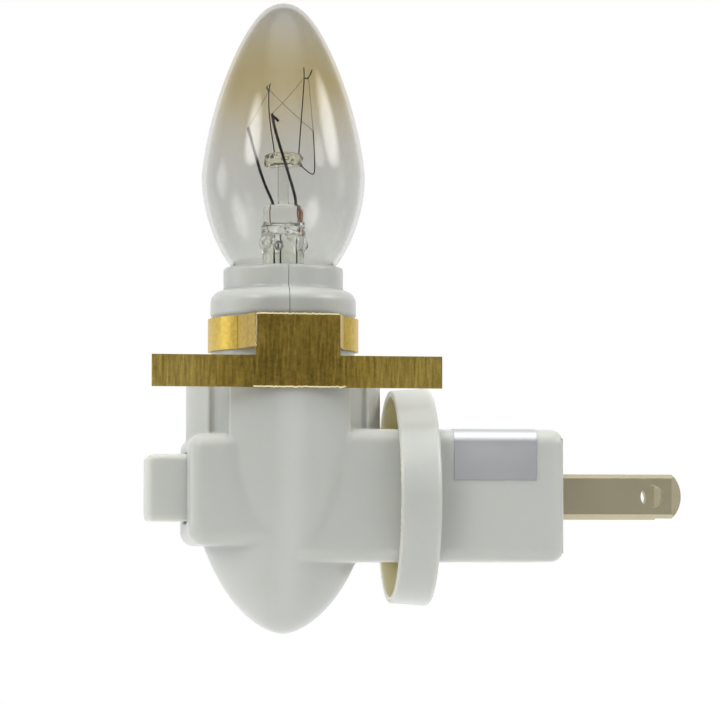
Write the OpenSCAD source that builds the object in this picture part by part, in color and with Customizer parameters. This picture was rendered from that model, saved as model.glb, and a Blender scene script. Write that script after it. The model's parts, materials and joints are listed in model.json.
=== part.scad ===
// Plug-in night light with a swivel plug, a push switch, a brass shade bracket and a candelabra bulb.
// Millimetres. +Z is up and +X points into the wall.
// The origin is the centre of the plug's end face, so the bulb axis stands at x = -axis_reach.
// Most shapes are drawn about the bulb axis and then moved there by lamp_frame().

/* [Housing] */
// Outer radius of the round housing
body_r = 13.65; // [12.8:0.05:16]
// Height of the housing's shoulder above the plug axis
body_top_z = 17.9; // [17.4:0.1:18.6]
// Height of the round body's straight wall
straight_h = 8.24; // [7:0.02:8.6]
// Depth of the domed underside
dome_len = 28.9; // [26:0.1:34]
// Rounding of the shoulder
shoulder_r = 1.4; // [0.6:0.1:1.8]
// Wall thickness of both housing shells
wall = 1.6; // [1.4:0.1:1.8]
// Gap between the two housing shells at their seam
seam_gap = 0.08; // [0.02:0.02:0.3]
// Radius of the neck that carries the bracket
neck_r = 10.05; // [9.8:0.05:10.6]
// How far the bead that keeps the bracket on stands out of the neck
bead_rise = 0.22; // [0.2:0.01:0.5]
// Height of the neck above the shoulder
neck_h = 9.3; // [9:0.1:10]
// Outer radius of the rim around the bulb
rim_r = 8.44; // [8.3:0.02:9.2]
// Height of the rounded collar between the neck and the rim
collar_h = 1.7; // [1.2:0.1:2.4]
// Height of the rim around the bulb
rim_h = 3.3; // [2.6:0.1:3.4]
// Radius of the bore that holds the lamp socket
socket_bore_r = 7.65; // [7.6:0.01:7.9]
// Width of each upright channel on the shoulder
channel_w = 3.7; // [2:0.1:4.5]
// Depth of each upright channel
channel_depth = 0.9; // [0.4:0.1:1.1]
// Length of each channel down from the shoulder
channel_h = 11.1; // [6:0.1:13]
// Angle of each channel from the front
channel_angle = 46.5; // [40:0.5:50]
// Radius of the locating pegs between the shells
peg_r = 0.9; // [0.7:0.05:1]

/* [Switch boss] */
// How far the boss stands out beyond the round body
boss_out = 0.2; // [0.1:0.05:1.2]
// Height of the top of the boss
boss_top_z = 8.5; // [8.2:0.1:9.2]
// Depth of the underside of the boss below the plug axis
boss_drop = 6.9; // [6.6:0.1:8]
// Rounding of the boss's edges
boss_edge_r = 2.0; // [0.8:0.1:2.4]

/* [Plug] */
// Gap between the round body and the mouth of the plug's cup
cup_gap = 1.35; // [1.2:0.05:4]
// Length of the cup along the plug axis
cup_len = 5.6; // [5:0.1:8]
// Clearance of the housing's square neck inside the turning cup
cup_clear = 0.32; // [0.3:0.02:1]
// How much wider the cup is at its back than at its mouth
cup_flare = 0.4; // [0.1:0.05:0.6]
// Wall thickness of the cup at its mouth
cup_wall = 0.92; // [0.6:0.02:0.94]
// Thickness of the cup's floor
cup_floor = 1.5; // [1.3:0.1:2.2]
// Rounding of the cup's back edge
cup_edge_r = 0.7; // [0.3:0.1:1.2]
// Length of the plug body from the cup's back to the end face
plug_len = 17.6; // [16.8:0.1:24]
// Width of the plug body
plug_w = 22.6; // [22:0.1:22.8]
// Height of the plug body
plug_h = 18.4; // [18:0.1:18.6]
// Rounding of the plug body's long edges
plug_edge_r = 2.0; // [1.8:0.1:3]
// Rounding of the plug body's edges at the end face
plug_end_r = 1.7; // [0.6:0.1:2]
// Wall thickness of the plug shell
plug_wall = 1.8; // [1.6:0.1:1.8]
// Thickness of the plate that closes the plug
end_plate_t = 2.6; // [2:0.1:3.4]
// Width of the ledge that the end plate seats on
end_ledge = 0.6; // [0.4:0.1:0.7]

/* [Blades] */
// Length of each blade beyond the end face
blade_len = 17.3; // [15.9:0.1:18.3]
// Width of each blade
blade_w = 6.15; // [6.1:0.05:6.6]
// Thickness of each blade
blade_t = 1.5; // [1.4:0.05:1.65]
// Distance between the centre planes of the blades
blade_pitch = 12.7; // [12.6:0.05:12.8]
// Radius of the hole in each blade
blade_hole_r = 1.6; // [1.4:0.05:2]
// Distance from the blade's tip to its hole
blade_hole_inset = 4.2; // [3.6:0.1:5]
// Radius of the blade's round tip
blade_tip_r = 4.2; // [3.7:0.1:8]
// Length of the thinned stretch at the blade's tip
tip_taper_len = 1.4; // [0.8:0.1:1.8]
// Thickness taken off each face at the tip
tip_taper_depth = 0.4; // [0.2:0.05:0.45]
// Width of the slope along the blade's long edges, seen from the side
edge_slope_w = 0.55; // [0.2:0.05:0.8]
// Thickness that the slope takes off each face
edge_slope_depth = 0.35; // [0.1:0.05:0.5]
// Length of the blade behind the plug's end face
blade_tail = 6.2; // [5.6:0.1:7]

/* [Swivel] */
// Outer radius of the hollow spigot that the plug turns on
spigot_r = 5.2; // [5:0.05:5.6]
// Radius of the spigot's bore
spigot_bore_r = 4.0; // [3.9:0.05:4.2]
// Running clearance of the spigot in the cup's floor
spigot_fit = 0.08; // [0.03:0.01:0.1]
// Gap between the housing's square neck and the cup's floor
neck_gap = 0.4; // [0.3:0.05:0.6]
// Swivel each way from upright, in degrees
swivel_range = 90; // [30:5:90]
// Radius of the stop lug on the housing's square neck
lug_r = 0.9; // [0.6:0.05:1.1]
// Distance of the stop lug from the swivel axis
lug_orbit = 7.6; // [7:0.1:8]
// Depth of the arc groove that the lug runs in
groove_depth = 0.9; // [0.6:0.05:1]
// Clearance of the disc that carries the slip contacts inside the plug
carrier_clear = 0.4; // [0.3:0.05:0.6]
// Thickness of that disc
carrier_t = 1.6; // [1.2:0.1:2]
// Distance from the disc's edge to the slip ring
slip_ring_inset = 0.6; // [0.3:0.1:1]
// Distance from the spigot's bore to the slip ring's solder tab
slip_tab_inset = 0.2; // [0.15:0.05:0.4]
// Radius of the centre slip contact's head
slip_head_r = 2.3; // [1.6:0.1:2.6]
// Thickness of the slip ring and of the spring brushes' metal
strip_t = 0.5; // [0.3:0.05:0.6]
// Gap drawn between each brush and the contact it bears on
brush_gap = 0.1; // [0.05:0.01:0.2]

/* [Lamp socket] */
// Thread pitch of the candelabra screw
pitch = 2.54; // [2.5:0.01:2.6]
// Mean radius of the bulb cap's thread
cap_thread_r = 5.6; // [5.5:0.02:5.7]
// Half of the thread's depth
thread_amp = 0.25; // [0.2:0.01:0.3]
// Radial clearance between cap and screw shell
thread_fit = 0.2; // [0.15:0.01:0.26]
// Sheet thickness of the screw shell and of the bulb cap
shell_t = 0.3; // [0.2:0.02:0.35]
// Depth of the socket's shelf below the top of the rim
socket_depth = 18.4; // [18:0.1:18.8]
// Depth of the screw shell's top below the top of the rim
socket_recess = 4.0; // [3.8:0.1:4.6]
// Thickness of the socket insulator's floor
socket_floor = 1.6; // [1.4:0.1:1.8]

/* [Push switch] */
// Width of the square button
button_w = 9.0; // [8:0.1:10]
// Height of the square button
button_h = 9.35; // [8:0.05:10]
// How far the button stands out of the boss
button_out = 5.55; // [4:0.05:7]
// Height of the button's centre above the plug axis
button_z = 1.15; // [0.6:0.05:1.4]
// Travel of the button
button_travel = 2.5; // [1.5:0.1:2.5]
// Clearance of the button in its window
button_fit = 0.25; // [0.15:0.01:0.4]
// Rounding of the button's edges
button_edge_r = 0.7; // [0.3:0.1:1.2]
// Radius of the plunger's stem
stem_r = 1.4; // [1.2:0.05:1.45]
// Radius of the plunger's cross pin
cross_pin_r = 0.4; // [0.3:0.05:0.45]
// Quarter turn of the rotor for one press, in degrees
rotor_turn = 90; // [60:5:90]
// Wire radius of the return spring
spring_wire_r = 0.25; // [0.15:0.01:0.35]
// Mean radius of the return spring
spring_r = 3.95; // [3.8:0.05:4.2]
// Turns of the return spring
spring_turns = 4; // [3:1:5]

/* [Bracket] */
// Thickness of the brass sheet
sheet_t = 0.5; // [0.4:0.05:0.6]
// Clearance of the bracket's ring on the neck
ring_fit = 0.07; // [0.03:0.01:0.1]
// Gap between the shoulder and the bracket's ring
ring_gap = 2.4; // [1.8:0.1:2.8]
// Height of the bracket's ring strip
ring_h = 4.6; // [4:0.1:4.8]
// Gap between the bracket's front tab and the round body
bracket_gap = 0.25; // [0.2:0.05:4]
// Half the width of the front tab
tab_half_w = 5.87; // [5:0.1:6.6]
// Length of the straight bar
bar_len = 40.2; // [30:0.1:41]
// Drop from the ring's underside to the bar's lower edge
bar_drop = 5.65; // [4.8:0.05:5.7]
// Width of the bar's sheet from edge to edge
bar_w = 4.4; // [3:0.1:4.8]
// Turn of the bracket on the neck at rest, in degrees
bracket_turn = 3; // [-10:1:15]

/* [Bulb] */
// Greatest radius of the bulb's glass
glass_r = 11.55; // [11:0.05:11.8]
// Height of the glass from its waist to its widest place
glass_wide_rise = 12.55; // [11:0.05:14]
// Height of the glass from its widest place to its tip
glass_tip_rise = 24.9; // [20:0.1:27]
// Height of the glass's waist above the cap
waist_rise = 1.55; // [1.4:0.05:2]
// Thickness of the glass
glass_t = 0.8; // [0.5:0.05:1]
// Cement gap between the glass neck and the cap
neck_seal = 0.1; // [0.05:0.01:0.2]
// Height of the bulb's solder contact above the floor of the socket's shelf
foot_gap = 2.4; // [2.35:0.05:2.8]
// Diameter of the filament wire
filament_d = 0.16; // [0.1:0.02:0.3]
// Diameter of the thick lead wires
lead_d = 0.5; // [0.3:0.05:0.7]

/* [Label and wiring] */
// Length of the foil label along the plug
label_len = 11.5; // [6:0.1:13]
// Distance from the cup's back to the label
label_inset = 2.2; // [1:0.1:3]
// Height of the label's lower edge above the plug axis
label_low_z = 2.16; // [0:0.1:6]
// Thickness of the foil label
label_t = 0.08; // [0.04:0.01:0.15]
// Width of the label on the plug's top face
label_top_w = 7.0; // [3:0.1:12]
// Diameter of the insulated wires inside the housing
wire_d = 1.5; // [1:0.1:1.8]

/* [Hidden] */
$fn = 72;

// One overrun for every cut
over = 0.5;

// Places along the plug axis, counted from the bulb axis
cup_offset = body_r + cup_gap;
axis_reach = cup_offset + cup_len + plug_len;
cup_back_x = cup_offset + cup_len;
cup_floor_x = cup_back_x - cup_floor;
neck_end_x = cup_floor_x - neck_gap;

// The sideways reach of a cut that splits the whole part
far = axis_reach + blade_len;

// Heights above the plug axis
body_straight_z = body_top_z - straight_h;
neck_top_z = body_top_z + neck_h;
rim_foot_z = neck_top_z + collar_h;
rim_top_z = rim_foot_z + rim_h;
channel_foot_z = body_top_z - channel_h;
socket_seat_z = rim_top_z - socket_depth;
socket_top_z = rim_top_z - socket_recess;
ring_low_z = body_top_z + ring_gap;
bracket_top_z = ring_low_z + ring_h;
bar_low_z = ring_low_z - bar_drop;

// Housing
bead_r = neck_r + bead_rise;
boss_reach = body_r + boss_out;
dome_tip_z = body_straight_z - dome_len;
dome_swell = 2.2;
dome_nose = 0.58;
dome_steps = 22;
arc_steps = 5;
bead_h = 1.9;
rim_chamfer = 0.25;
shelf_t = 1.4;
shelf_lip = 0.65;
shelf_hole_r = socket_bore_r - shelf_lip;
peg_z = (boss_top_z + socket_seat_z - shelf_t) / 2;
peg_y = body_r - wall - 1.7 * peg_r;
low_peg_rise = 3.9;
low_peg_z = dome_tip_z + low_peg_rise;
peg_len = 2.6;
peg_fit = 0.05;
peg_boss_wall = 0.9;
peg_boss_r = peg_r + peg_boss_wall;
peg_boss_len = 3.4;

// Switch boss and the square neck share one width
boss_h = boss_top_z + boss_drop;
boss_mid_z = (boss_top_z - boss_drop) / 2;

// Cup, wide enough for the corners of the square neck to turn in it
neck_corner_r = norm([plug_w / 2 - plug_edge_r, plug_h / 2 - plug_edge_r]) + plug_edge_r;
cup_mouth_r = neck_corner_r + cup_clear + cup_wall;
cup_back_r = cup_mouth_r + cup_flare;

// Swivel
carrier_gap = 0.3;
carrier_r = plug_h / 2 - plug_wall - carrier_clear;
slip_ring_r = carrier_r - slip_ring_inset;
slip_ring_inner_r = spigot_bore_r - slip_tab_inset - strip_t;
carrier_x = cup_back_x + carrier_gap;
carrier_plug_len = 2.0;
carrier_fit = 0.05;
carrier_face_x = carrier_x + carrier_t;
carrier_boss_r = 2.9;
carrier_boss_len = 1.4;
slip_tail_r = 0.8;
slip_tail_past = 1.0;
slip_tail_x = carrier_x - carrier_plug_len - slip_tail_past;
slip_tab_w = 1.6;
slip_tab_past = 0.2;
slip_tab_x = neck_end_x - wall - slip_tab_past;
slip_ring_face_x = carrier_face_x + strip_t;
slip_head_face_x = carrier_face_x + carrier_boss_len + strip_t;
hole_fit = 0.05;
groove_fit = 0.15;

// Brushes, each a flat spring strip riveted to the inner tail of its blade
brush_t = 0.4;
brush_w = 4.0;
brush_y = blade_pitch / 2 - blade_t / 2 - brush_t;
brush_end_gap = 0.4;
brush_end_x = axis_reach - end_plate_t - brush_end_gap;
ring_finger_len = 1.7;
centre_finger_past = 1.3;
rivet_r = 0.7;
rivet_head_r = 1.1;
rivet_head_t = 0.35;
rivet_inset = 1.8;
rivet_x = axis_reach - blade_tail + rivet_inset;

// Lamp socket
insulator_fit = 0.1;
insulator_r = socket_bore_r - insulator_fit;
screw_shell_r = cap_thread_r + thread_fit + shell_t;
screw_shell_gap = 0.25;
insulator_bore_r = screw_shell_r + thread_amp + screw_shell_gap;
ledge_r = 4.8;
ledge_h = 2.1;
terminal_t = 0.4;
terminal_w = 2.4;
terminal_z = socket_seat_z + socket_floor + ledge_h;
screw_foot_z = terminal_z + terminal_t;
terminal_tail_inset = 0.75;
terminal_tail_x = insulator_bore_r - terminal_tail_inset;
terminal_drop = 2.6;
slot_fit = 0.05;
centre_head_r = 3.4;
centre_head_t = 0.45;
centre_dome_r = 1.6;
centre_dome_gap = 0.05;
centre_tail_r = 0.8;
centre_tail_drop = 2.0;
centre_rivet_r = 1.5;
centre_rivet_t = 0.5;

// Thread grid
thread_sides = 24;
thread_steps = 8;

// Push switch, along x at the height of the button
flange_t = 0.9;
flange_w = 0.8;
flange_gap = 0.1;
button_wall = 1.1;
button_face_x = -boss_reach - button_out;
flange_x = -boss_reach + wall + flange_gap;
stem_boss_r = 2.5;
stem_boss_len = 4.0;
stem_fit = 0.04;
stem_seat = 0.4;
base_t = 2.0;
base_x = -5.2;
base_back_x = base_x + base_t;
base_gap = 0.15;
rotor_t = 1.45;
hub_r = 2.8;
hub_bore_r = 1.6;
hub_fit = 0.06;
lip_r = 3.2;
lip_t = 0.8;
lip_gap = 0.15;
hub_front_x = base_x - lip_gap - lip_t;
contact_t = 0.4;
bridge_t = 0.4;
bridge_gap = 0.05;
bridge_x = base_back_x + contact_t + bridge_gap;
bridge_w = 2.0;
bridge_ring_w = 0.9;
bridge_ring_r = hub_r + bridge_ring_w;
rotor_x = bridge_x + bridge_t;
cross_pin_lead = 0.3;
cross_pin_x = base_x - cross_pin_lead;
cross_pin_half = 2.45;
cam_slot_w = 2.1;
cam_slices = 16;
cam_segments = 8;
stem_past_pin = 0.9;
stem_end_x = cross_pin_x + stem_past_pin;
rail_w = 1.6;
rail_t = 1.2;
contact_w = 2.4;
contact_pad_w = 3.2;

// Reach of the switch's contacts, rotor and bridge from its axis, as shares of the half width between the rails
contact_in_share = 0.5;
contact_pad_share = 0.8;
rotor_share = 0.575;
bridge_share = 0.6125;
contact_rail_gap = 0.1;
contact_out = plug_w / 2 - wall - rail_w - contact_rail_gap;
contact_in = contact_in_share * contact_out;
contact_pad_end = contact_pad_share * contact_out;
rotor_r = rotor_share * contact_out;
bridge_half = bridge_share * contact_out;

// Bulb
bulb_foot_z = socket_seat_z + foot_gap;
tip_r = 2.3;
tip_h = 1.0;
cone_gap = 0.05;
cone_h = 2.25;
cap_foot_z = bulb_foot_z + tip_h + cone_gap + cone_h - shell_t;
cap_foot_r = 4.8;
cap_screw_h = 10.0;
cap_skirt_z = cap_foot_z + cap_screw_h - shell_t;
cap_skirt_r = 6.6;
cap_skirt_h = 2.0;
cap_cone_h = 0.7;
cap_top_z = cap_skirt_z + cap_skirt_h;
thread_foot = 1.0;
thread_head = 0.9;
glass_seat = 0.4;
glass_foot_z = cap_skirt_z + glass_seat;
glass_neck_r = cap_skirt_r - shell_t - neck_seal;
glass_waist_z = cap_top_z + waist_rise;
glass_wide_z = glass_waist_z + glass_wide_rise;
glass_tip_z = glass_wide_z + glass_tip_rise;
glass_top_power = 1.42;
glass_top_nose = 0.56;
glass_tip_nose = 0.50;
glass_nose_power = 6;
glass_low_power = 1.8;
glass_low_share = 1.3386;
glass_low_len = glass_low_share * glass_wide_rise;
glass_steps = 26;
tip_shares = [[0, 0], [0.6, 0], [0.9, 0.35], [1, 1], [0, 1]];
cone_foot_z = bulb_foot_z + tip_h + cone_gap;
cone_foot_r = 2.7;

// Bulb internals, as shares of the glass height above its waist and of its greatest radius
glass_rise = glass_tip_z - glass_waist_z;
press_low_share = 0.150;
press_top_share = 0.235;
button_low_share = 0.378;
button_top_share = 0.428;
press_half_w = 2.8;
press_half_t = 1.1;
stem_tube_r = 2.9;
stem_tube_t = 0.5;
rod_r = 0.8;
glass_button_r = 2.6;

// A place inside the glass: two sideways shares of glass_r, and a share of glass_rise above the waist
function in_glass(s) = [s[0] * glass_r, s[1] * glass_r, glass_waist_z + s[2] * glass_rise];

// Places of the wires inside the bulb, chosen to follow the real mount
left_tip_shares = [-0.43, 0.02, 0.540];
left_bend_shares = [-0.25, 0.00, 0.345];
centre_tip_shares = [-0.13, -0.16, 0.580];
centre_bend_shares = [0.13, -0.10, 0.255];
back_anchor_shares = [0.27, -0.10, 0.735];
left_anchor_shares = [-0.18, 0.14, 0.690];
right_anchor_shares = [0.38, 0.12, 0.530];
left_root_shares = [-0.5, 0, 0];
centre_root_shares = [0.7, 0, 0];
centre_middle_shares = [0.00, -0.30, 0.400];
anchor_middle_shares = [0.45, 0.5, 0.5];
anchor_root_share = 0.4;
wire_rise_share = 1.5;
anchor_d = 0.24;
press_low_z = glass_waist_z + press_low_share * glass_rise;
press_top_z = glass_waist_z + press_top_share * glass_rise;
bead_low_z = glass_waist_z + button_low_share * glass_rise;
bead_top_z = glass_waist_z + button_top_share * glass_rise;

left_tip = in_glass(left_tip_shares);
left_bend = in_glass(left_bend_shares);
centre_tip = in_glass(centre_tip_shares);
centre_bend = in_glass(centre_bend_shares);
centre_middle = in_glass(centre_middle_shares);
back_anchor = in_glass(back_anchor_shares);
left_anchor = in_glass(left_anchor_shares);
right_anchor = in_glass(right_anchor_shares);
fine_sides = 6;
fine_up = [0.1, 1, 0.15];
bead_belly_share = 0.4;

// A point part of the way from a to b, with a share of its own along each axis
function between(a, b, shares) =
    [for (i = [0:2]) a[i] + (b[i] - a[i]) * shares[i]];

function unit(v) = v / norm(v);

// Corner cutting, which turns a bent line into a smooth one and keeps its ends
function smooth(p) = concat(
    [p[0]],
    [for (i = [0:len(p) - 2]) each [0.75 * p[i] + 0.25 * p[i + 1], 0.25 * p[i] + 0.75 * p[i + 1]]],
    [p[len(p) - 1]]);

function reversed(p) = [for (i = [len(p) - 1:-1:0]) p[i]];

// Direction of the line at point i
function heading(p, i) = unit(p[min(i + 1, len(p) - 1)] - p[max(i - 1, 0)]);

// Points of the rings of a round tube along p, with up as the direction that no stretch follows
function tube_points(p, r, sides, up) = [
    for (i = [0:len(p) - 1])
        let (t = heading(p, i), u = unit(cross(t, up)), v = cross(t, u))
            for (k = [0:sides - 1])
                p[i] + r * (cos(360 * k / sides) * u + sin(360 * k / sides) * v)];

// Side faces between rings, as triangles
function ring_faces(rings, sides) = [
    for (i = [0:rings - 2], k = [0:sides - 1])
        let (a = i * sides + k, b = i * sides + (k + 1) % sides)
            each [[a, b, b + sides], [a, b + sides, a + sides]]];

function cap_faces(rings, sides) = [
    for (k = [1:sides - 2]) each [
        [0, k + 1, k],
        [(rings - 1) * sides, (rings - 1) * sides + k, (rings - 1) * sides + k + 1]]];

module tube(p, r, sides, up) {
    polyhedron(
        points = tube_points(p, r, sides, up),
        faces = [for (f = concat(ring_faces(len(p), sides), cap_faces(len(p), sides))) reversed(f)]);
}

// A sheet shell of revolution whose wall also winds along a thread.
// Each station is [height, radius, half the thread's depth] on the outer side.
function shell_ring(s, inset) = [
    for (k = [0:thread_sides - 1])
        let (a = 360 * k / thread_sides, r = s[1] - inset + s[2] * cos(a - 360 * s[0] / pitch))
            [r * cos(a), r * sin(a), s[0]]];

module threaded_shell(stations, t) {
    n = len(stations);
    rings = 2 * n;
    points = concat(
        [for (s = stations) each shell_ring(s, 0)],
        [for (s = reversed(stations)) each shell_ring(s, t)]);
    closing = [for (k = [0:thread_sides - 1])
        let (a = (rings - 1) * thread_sides + k, b = (rings - 1) * thread_sides + (k + 1) % thread_sides)
            each [[a, b, (k + 1) % thread_sides], [a, (k + 1) % thread_sides, k]]];
    polyhedron(
        points = points,
        faces = [for (f = concat(ring_faces(rings, thread_sides), closing)) reversed(f)]);
}

// Helpers for placing
module lamp_frame() {
    translate([-axis_reach, 0, 0])
        children();
}

// A cylinder along x from x0 to x1
module x_rod(x0, x1, r) {
    translate([x0, 0, 0])
        rotate([0, 90, 0])
            cylinder(r = r, h = x1 - x0);
}

// A box given by its low and high corners
module span(low, high) {
    translate(low)
        cube(high - low);
}

// A flat rectangle with round corners, centred
module round_rect(w, h, r) {
    square([w - 2 * r, h], center = true);
    square([w, h - 2 * r], center = true);
    for (sx = [-1, 1], sy = [-1, 1])
        translate([sx * (w / 2 - r), sy * (h / 2 - r)])
            circle(r = r);
}

// A flat bar outline from 0 to len with round corners at its far end only, centred across
module round_end(len, w, r) {
    translate([0, -w / 2])
        square([len - r, w]);
    translate([0, r - w / 2])
        square([len, w - 2 * r]);
    for (s = [-1, 1])
        translate([len - r, s * (w / 2 - r)])
            circle(r = r);
}

// A bar along x from 0 to len, round along its long edges and round at its far end
module soft_bar(len, w, h, edge_r, end_r) {
    intersection() {
        rotate([90, 0, 90])
            linear_extrude(height = len)
                round_rect(w, h, edge_r);
        translate([0, 0, -h])
            linear_extrude(height = 2 * h)
                round_end(len, w, end_r);
        translate([0, w, 0])
            rotate([90, 0, 0])
                linear_extrude(height = 2 * w)
                    round_end(len, h, end_r);
    }
}

// Outline of the domed underside, from its straight wall down to its tip
function dome(r, len) = [
    for (i = [0:dome_steps])
        let (s = sin(90 * i / dome_steps))
            [r * pow(max(0, 1 - pow(s, dome_swell)), dome_nose), body_straight_z - len * s]];

function quarter(cx, cz, rx, rz) = [
    for (i = [0:arc_steps])
        [cx + rx * cos(90 * i / arc_steps), cz + rz * sin(90 * i / arc_steps)]];

module housing_round() {
    rotate_extrude()
        polygon(concat(
            reversed(dome(body_r, dome_len)),
            quarter(body_r - shoulder_r, body_top_z - shoulder_r, shoulder_r, shoulder_r),
            [[neck_r, body_top_z], [neck_r, neck_top_z - bead_h], [bead_r, neck_top_z - bead_h / 2]],
            quarter(rim_r, neck_top_z, bead_r - rim_r, rim_foot_z - neck_top_z),
            [[rim_r, rim_top_z - rim_chamfer], [rim_r - rim_chamfer, rim_top_z], [0, rim_top_z]]));
}

module housing_hollow() {
    rotate_extrude()
        polygon(concat(
            reversed(dome(body_r - wall, dome_len - wall)),
            [[body_r - wall, body_top_z - wall], [socket_bore_r, body_top_z - wall],
            [socket_bore_r, rim_top_z + over], [0, rim_top_z + over]]));
}

module socket_shelf() {
    translate([0, 0, socket_seat_z - shelf_t])
        difference() {
            cylinder(r = body_r - wall / 2, h = shelf_t);
            translate([0, 0, -over])
                cylinder(r = shelf_hole_r, h = shelf_t + 2 * over);
        }
}

module channels() {
    for (front = [-1, 1], side = [-1, 1])
        rotate([0, 0, front * 90 + side * channel_angle])
            translate([body_r - channel_depth, -channel_w / 2, channel_foot_z])
                cube([body_r, channel_w, body_top_z]);
}

module channelled_round() {
    difference() {
        housing_round();
        channels();
    }
}

// Places of the locating pegs on the seam, as [y, z]
peg_places = [[peg_y, peg_z], [-peg_y, peg_z], [0, low_peg_z]];

module at_pegs() {
    for (p = peg_places)
        translate([0, p[0], p[1]])
            children();
}

// The space inside the round wall that a post or a rail may fill, as far as skin from its outer face
module inside_round(skin) {
    rotate_extrude()
        polygon(concat(
            reversed(dome(body_r - skin, dome_len - skin)),
            [[body_r - skin, body_top_z - skin], [0, body_top_z - skin]]));
}

module half_space(side) {
    translate([side * (far / 2 + seam_gap / 2), 0, 0])
        cube([far, 2 * far, 4 * far], center = true);
}

module housing_left() {
    color("gainsboro")
        lamp_frame()
            difference() {
                union() {
                    intersection() {
                        half_space(-1);
                        difference() {
                            union() {
                                channelled_round();
                                switch_boss();
                            }
                            housing_hollow();
                            switch_hollow();
                        }
                    }
                    intersection() {
                        half_space(-1);
                        union() {
                            socket_shelf();
                            intersection() {
                                inside_round(wall / 2);
                                at_pegs()
                                    x_rod(-peg_boss_len, 0, peg_boss_r);
                            }
                        }
                    }
                    at_pegs()
                        x_rod(-peg_boss_len / 2, peg_len, peg_r);
                    base_rails();
                }
                button_window();
                base_slot();
            }
}

module switch_boss() {
    translate([0, 0, boss_mid_z])
        mirror([1, 0, 0])
            soft_bar(boss_reach, plug_w, boss_h, boss_edge_r, boss_edge_r);
}

module switch_hollow() {
    translate([0, 0, boss_mid_z])
        mirror([1, 0, 0])
            translate([0, -plug_w / 2 + wall, -boss_h / 2 + wall])
                cube([boss_reach - wall, plug_w - 2 * wall, boss_h - 2 * wall]);
}

module button_window() {
    w = button_w + 2 * button_fit;
    h = button_h + 2 * button_fit;
    translate([-boss_reach - over, -w / 2, button_z - h / 2])
        cube([wall + 2 * over, w, h]);
}

// Two rails inside the boss whose slot holds the switch base. Where the round cavity is wider
// than the boss, they run on to its wall.
base_half_y = plug_w / 2 - wall - base_gap;

module base_rail(reach) {
    span(
        [base_x - rail_t, plug_w / 2 - wall - rail_w, wall - boss_drop - over / 2],
        [base_back_x + rail_t, reach, boss_top_z - wall + over / 2]);
}

module base_rails() {
    for (s = [0, 1])
        mirror([0, s, 0]) {
            base_rail(plug_w / 2 - wall);
            intersection() {
                base_rail(body_r);
                inside_round(wall - over / 2);
            }
        }
}

module base_slot() {
    span(
        [base_x - slot_fit, -base_half_y - slot_fit, base_low_z - slot_fit],
        [base_back_x + slot_fit, base_half_y + slot_fit, base_high_z + slot_fit]);
}

module housing_right() {
    color("gainsboro")
        lamp_frame()
            difference() {
                union() {
                    intersection() {
                        half_space(1);
                        union() {
                            difference() {
                                union() {
                                    channelled_round();
                                    square_neck();
                                }
                                housing_hollow();
                                neck_hollow();
                            }
                            socket_shelf();
                            intersection() {
                                inside_round(wall / 2);
                                at_pegs()
                                    x_rod(0, peg_boss_len, peg_boss_r);
                            }
                        }
                    }
                    x_rod(neck_end_x - wall, carrier_x, spigot_r);
                    translate([0, 0, -lug_orbit])
                        x_rod(neck_end_x - wall / 2, cup_floor_x + groove_depth - groove_fit, lug_r);
                }
                x_rod(neck_end_x - wall - over, carrier_x + over, spigot_bore_r);
                at_pegs()
                    x_rod(-over, peg_len + 2 * peg_fit, peg_r + peg_fit);
            }
}

module square_neck() {
    rotate([90, 0, 90])
        linear_extrude(height = neck_end_x)
            round_rect(plug_w, plug_h, plug_edge_r);
}

module neck_hollow() {
    span(
        [0, wall - plug_w / 2, wall - plug_h / 2],
        [neck_end_x - wall, plug_w / 2 - wall, plug_h / 2 - wall]);
}

module cup_outline() {
    slope = (cup_back_r - cup_mouth_r) / cup_len;
    polygon(concat(
        [[0, 0], [cup_mouth_r, 0]],
        [for (i = [0:arc_steps])
            [cup_back_r - slope * cup_edge_r - cup_edge_r + cup_edge_r * cos(90 * i / arc_steps),
            cup_len - cup_edge_r + cup_edge_r * sin(90 * i / arc_steps)]],
        [[0, cup_len]]));
}

module plug_shell() {
    color("gainsboro")
        lamp_frame()
            difference() {
                union() {
                    translate([cup_offset, 0, 0])
                        rotate([0, 90, 0])
                            rotate_extrude()
                                cup_outline();
                    translate([cup_floor_x, 0, 0])
                        soft_bar(axis_reach - cup_floor_x, plug_w, plug_h, plug_edge_r, plug_end_r);
                }
                x_rod(cup_offset - over, cup_floor_x, cup_mouth_r - cup_wall);
                x_rod(cup_floor_x - over, cup_back_x + over, spigot_r + spigot_fit);
                span(
                    [cup_back_x, plug_wall - plug_w / 2, plug_wall - plug_h / 2],
                    [axis_reach + over, plug_w / 2 - plug_wall, plug_h / 2 - plug_wall]);
                end_recess(hole_fit, over);
                stop_groove();
            }
}

// The seat of the end plate, which is wider than the plug's hollow by one ledge all round
module end_recess(fit, past) {
    y = plug_w / 2 - plug_wall + end_ledge + fit;
    z = plug_h / 2 - plug_wall + end_ledge + fit;
    span(
        [axis_reach - end_plate_t, -y, -z],
        [axis_reach + past, y, z]);
}

module stop_groove() {
    r = lug_r + groove_fit;
    translate([cup_floor_x - over, 0, 0])
        rotate([90, 0, 90]) {
            rotate([0, 0, -90 - swivel_range])
                rotate_extrude(angle = 2 * swivel_range)
                    translate([lug_orbit - r, 0])
                        square([2 * r, groove_depth + over]);
            for (s = [-1, 1])
                rotate([0, 0, -90 + s * swivel_range])
                    translate([lug_orbit, 0, 0])
                        cylinder(r = r, h = groove_depth + over);
        }
}

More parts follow.
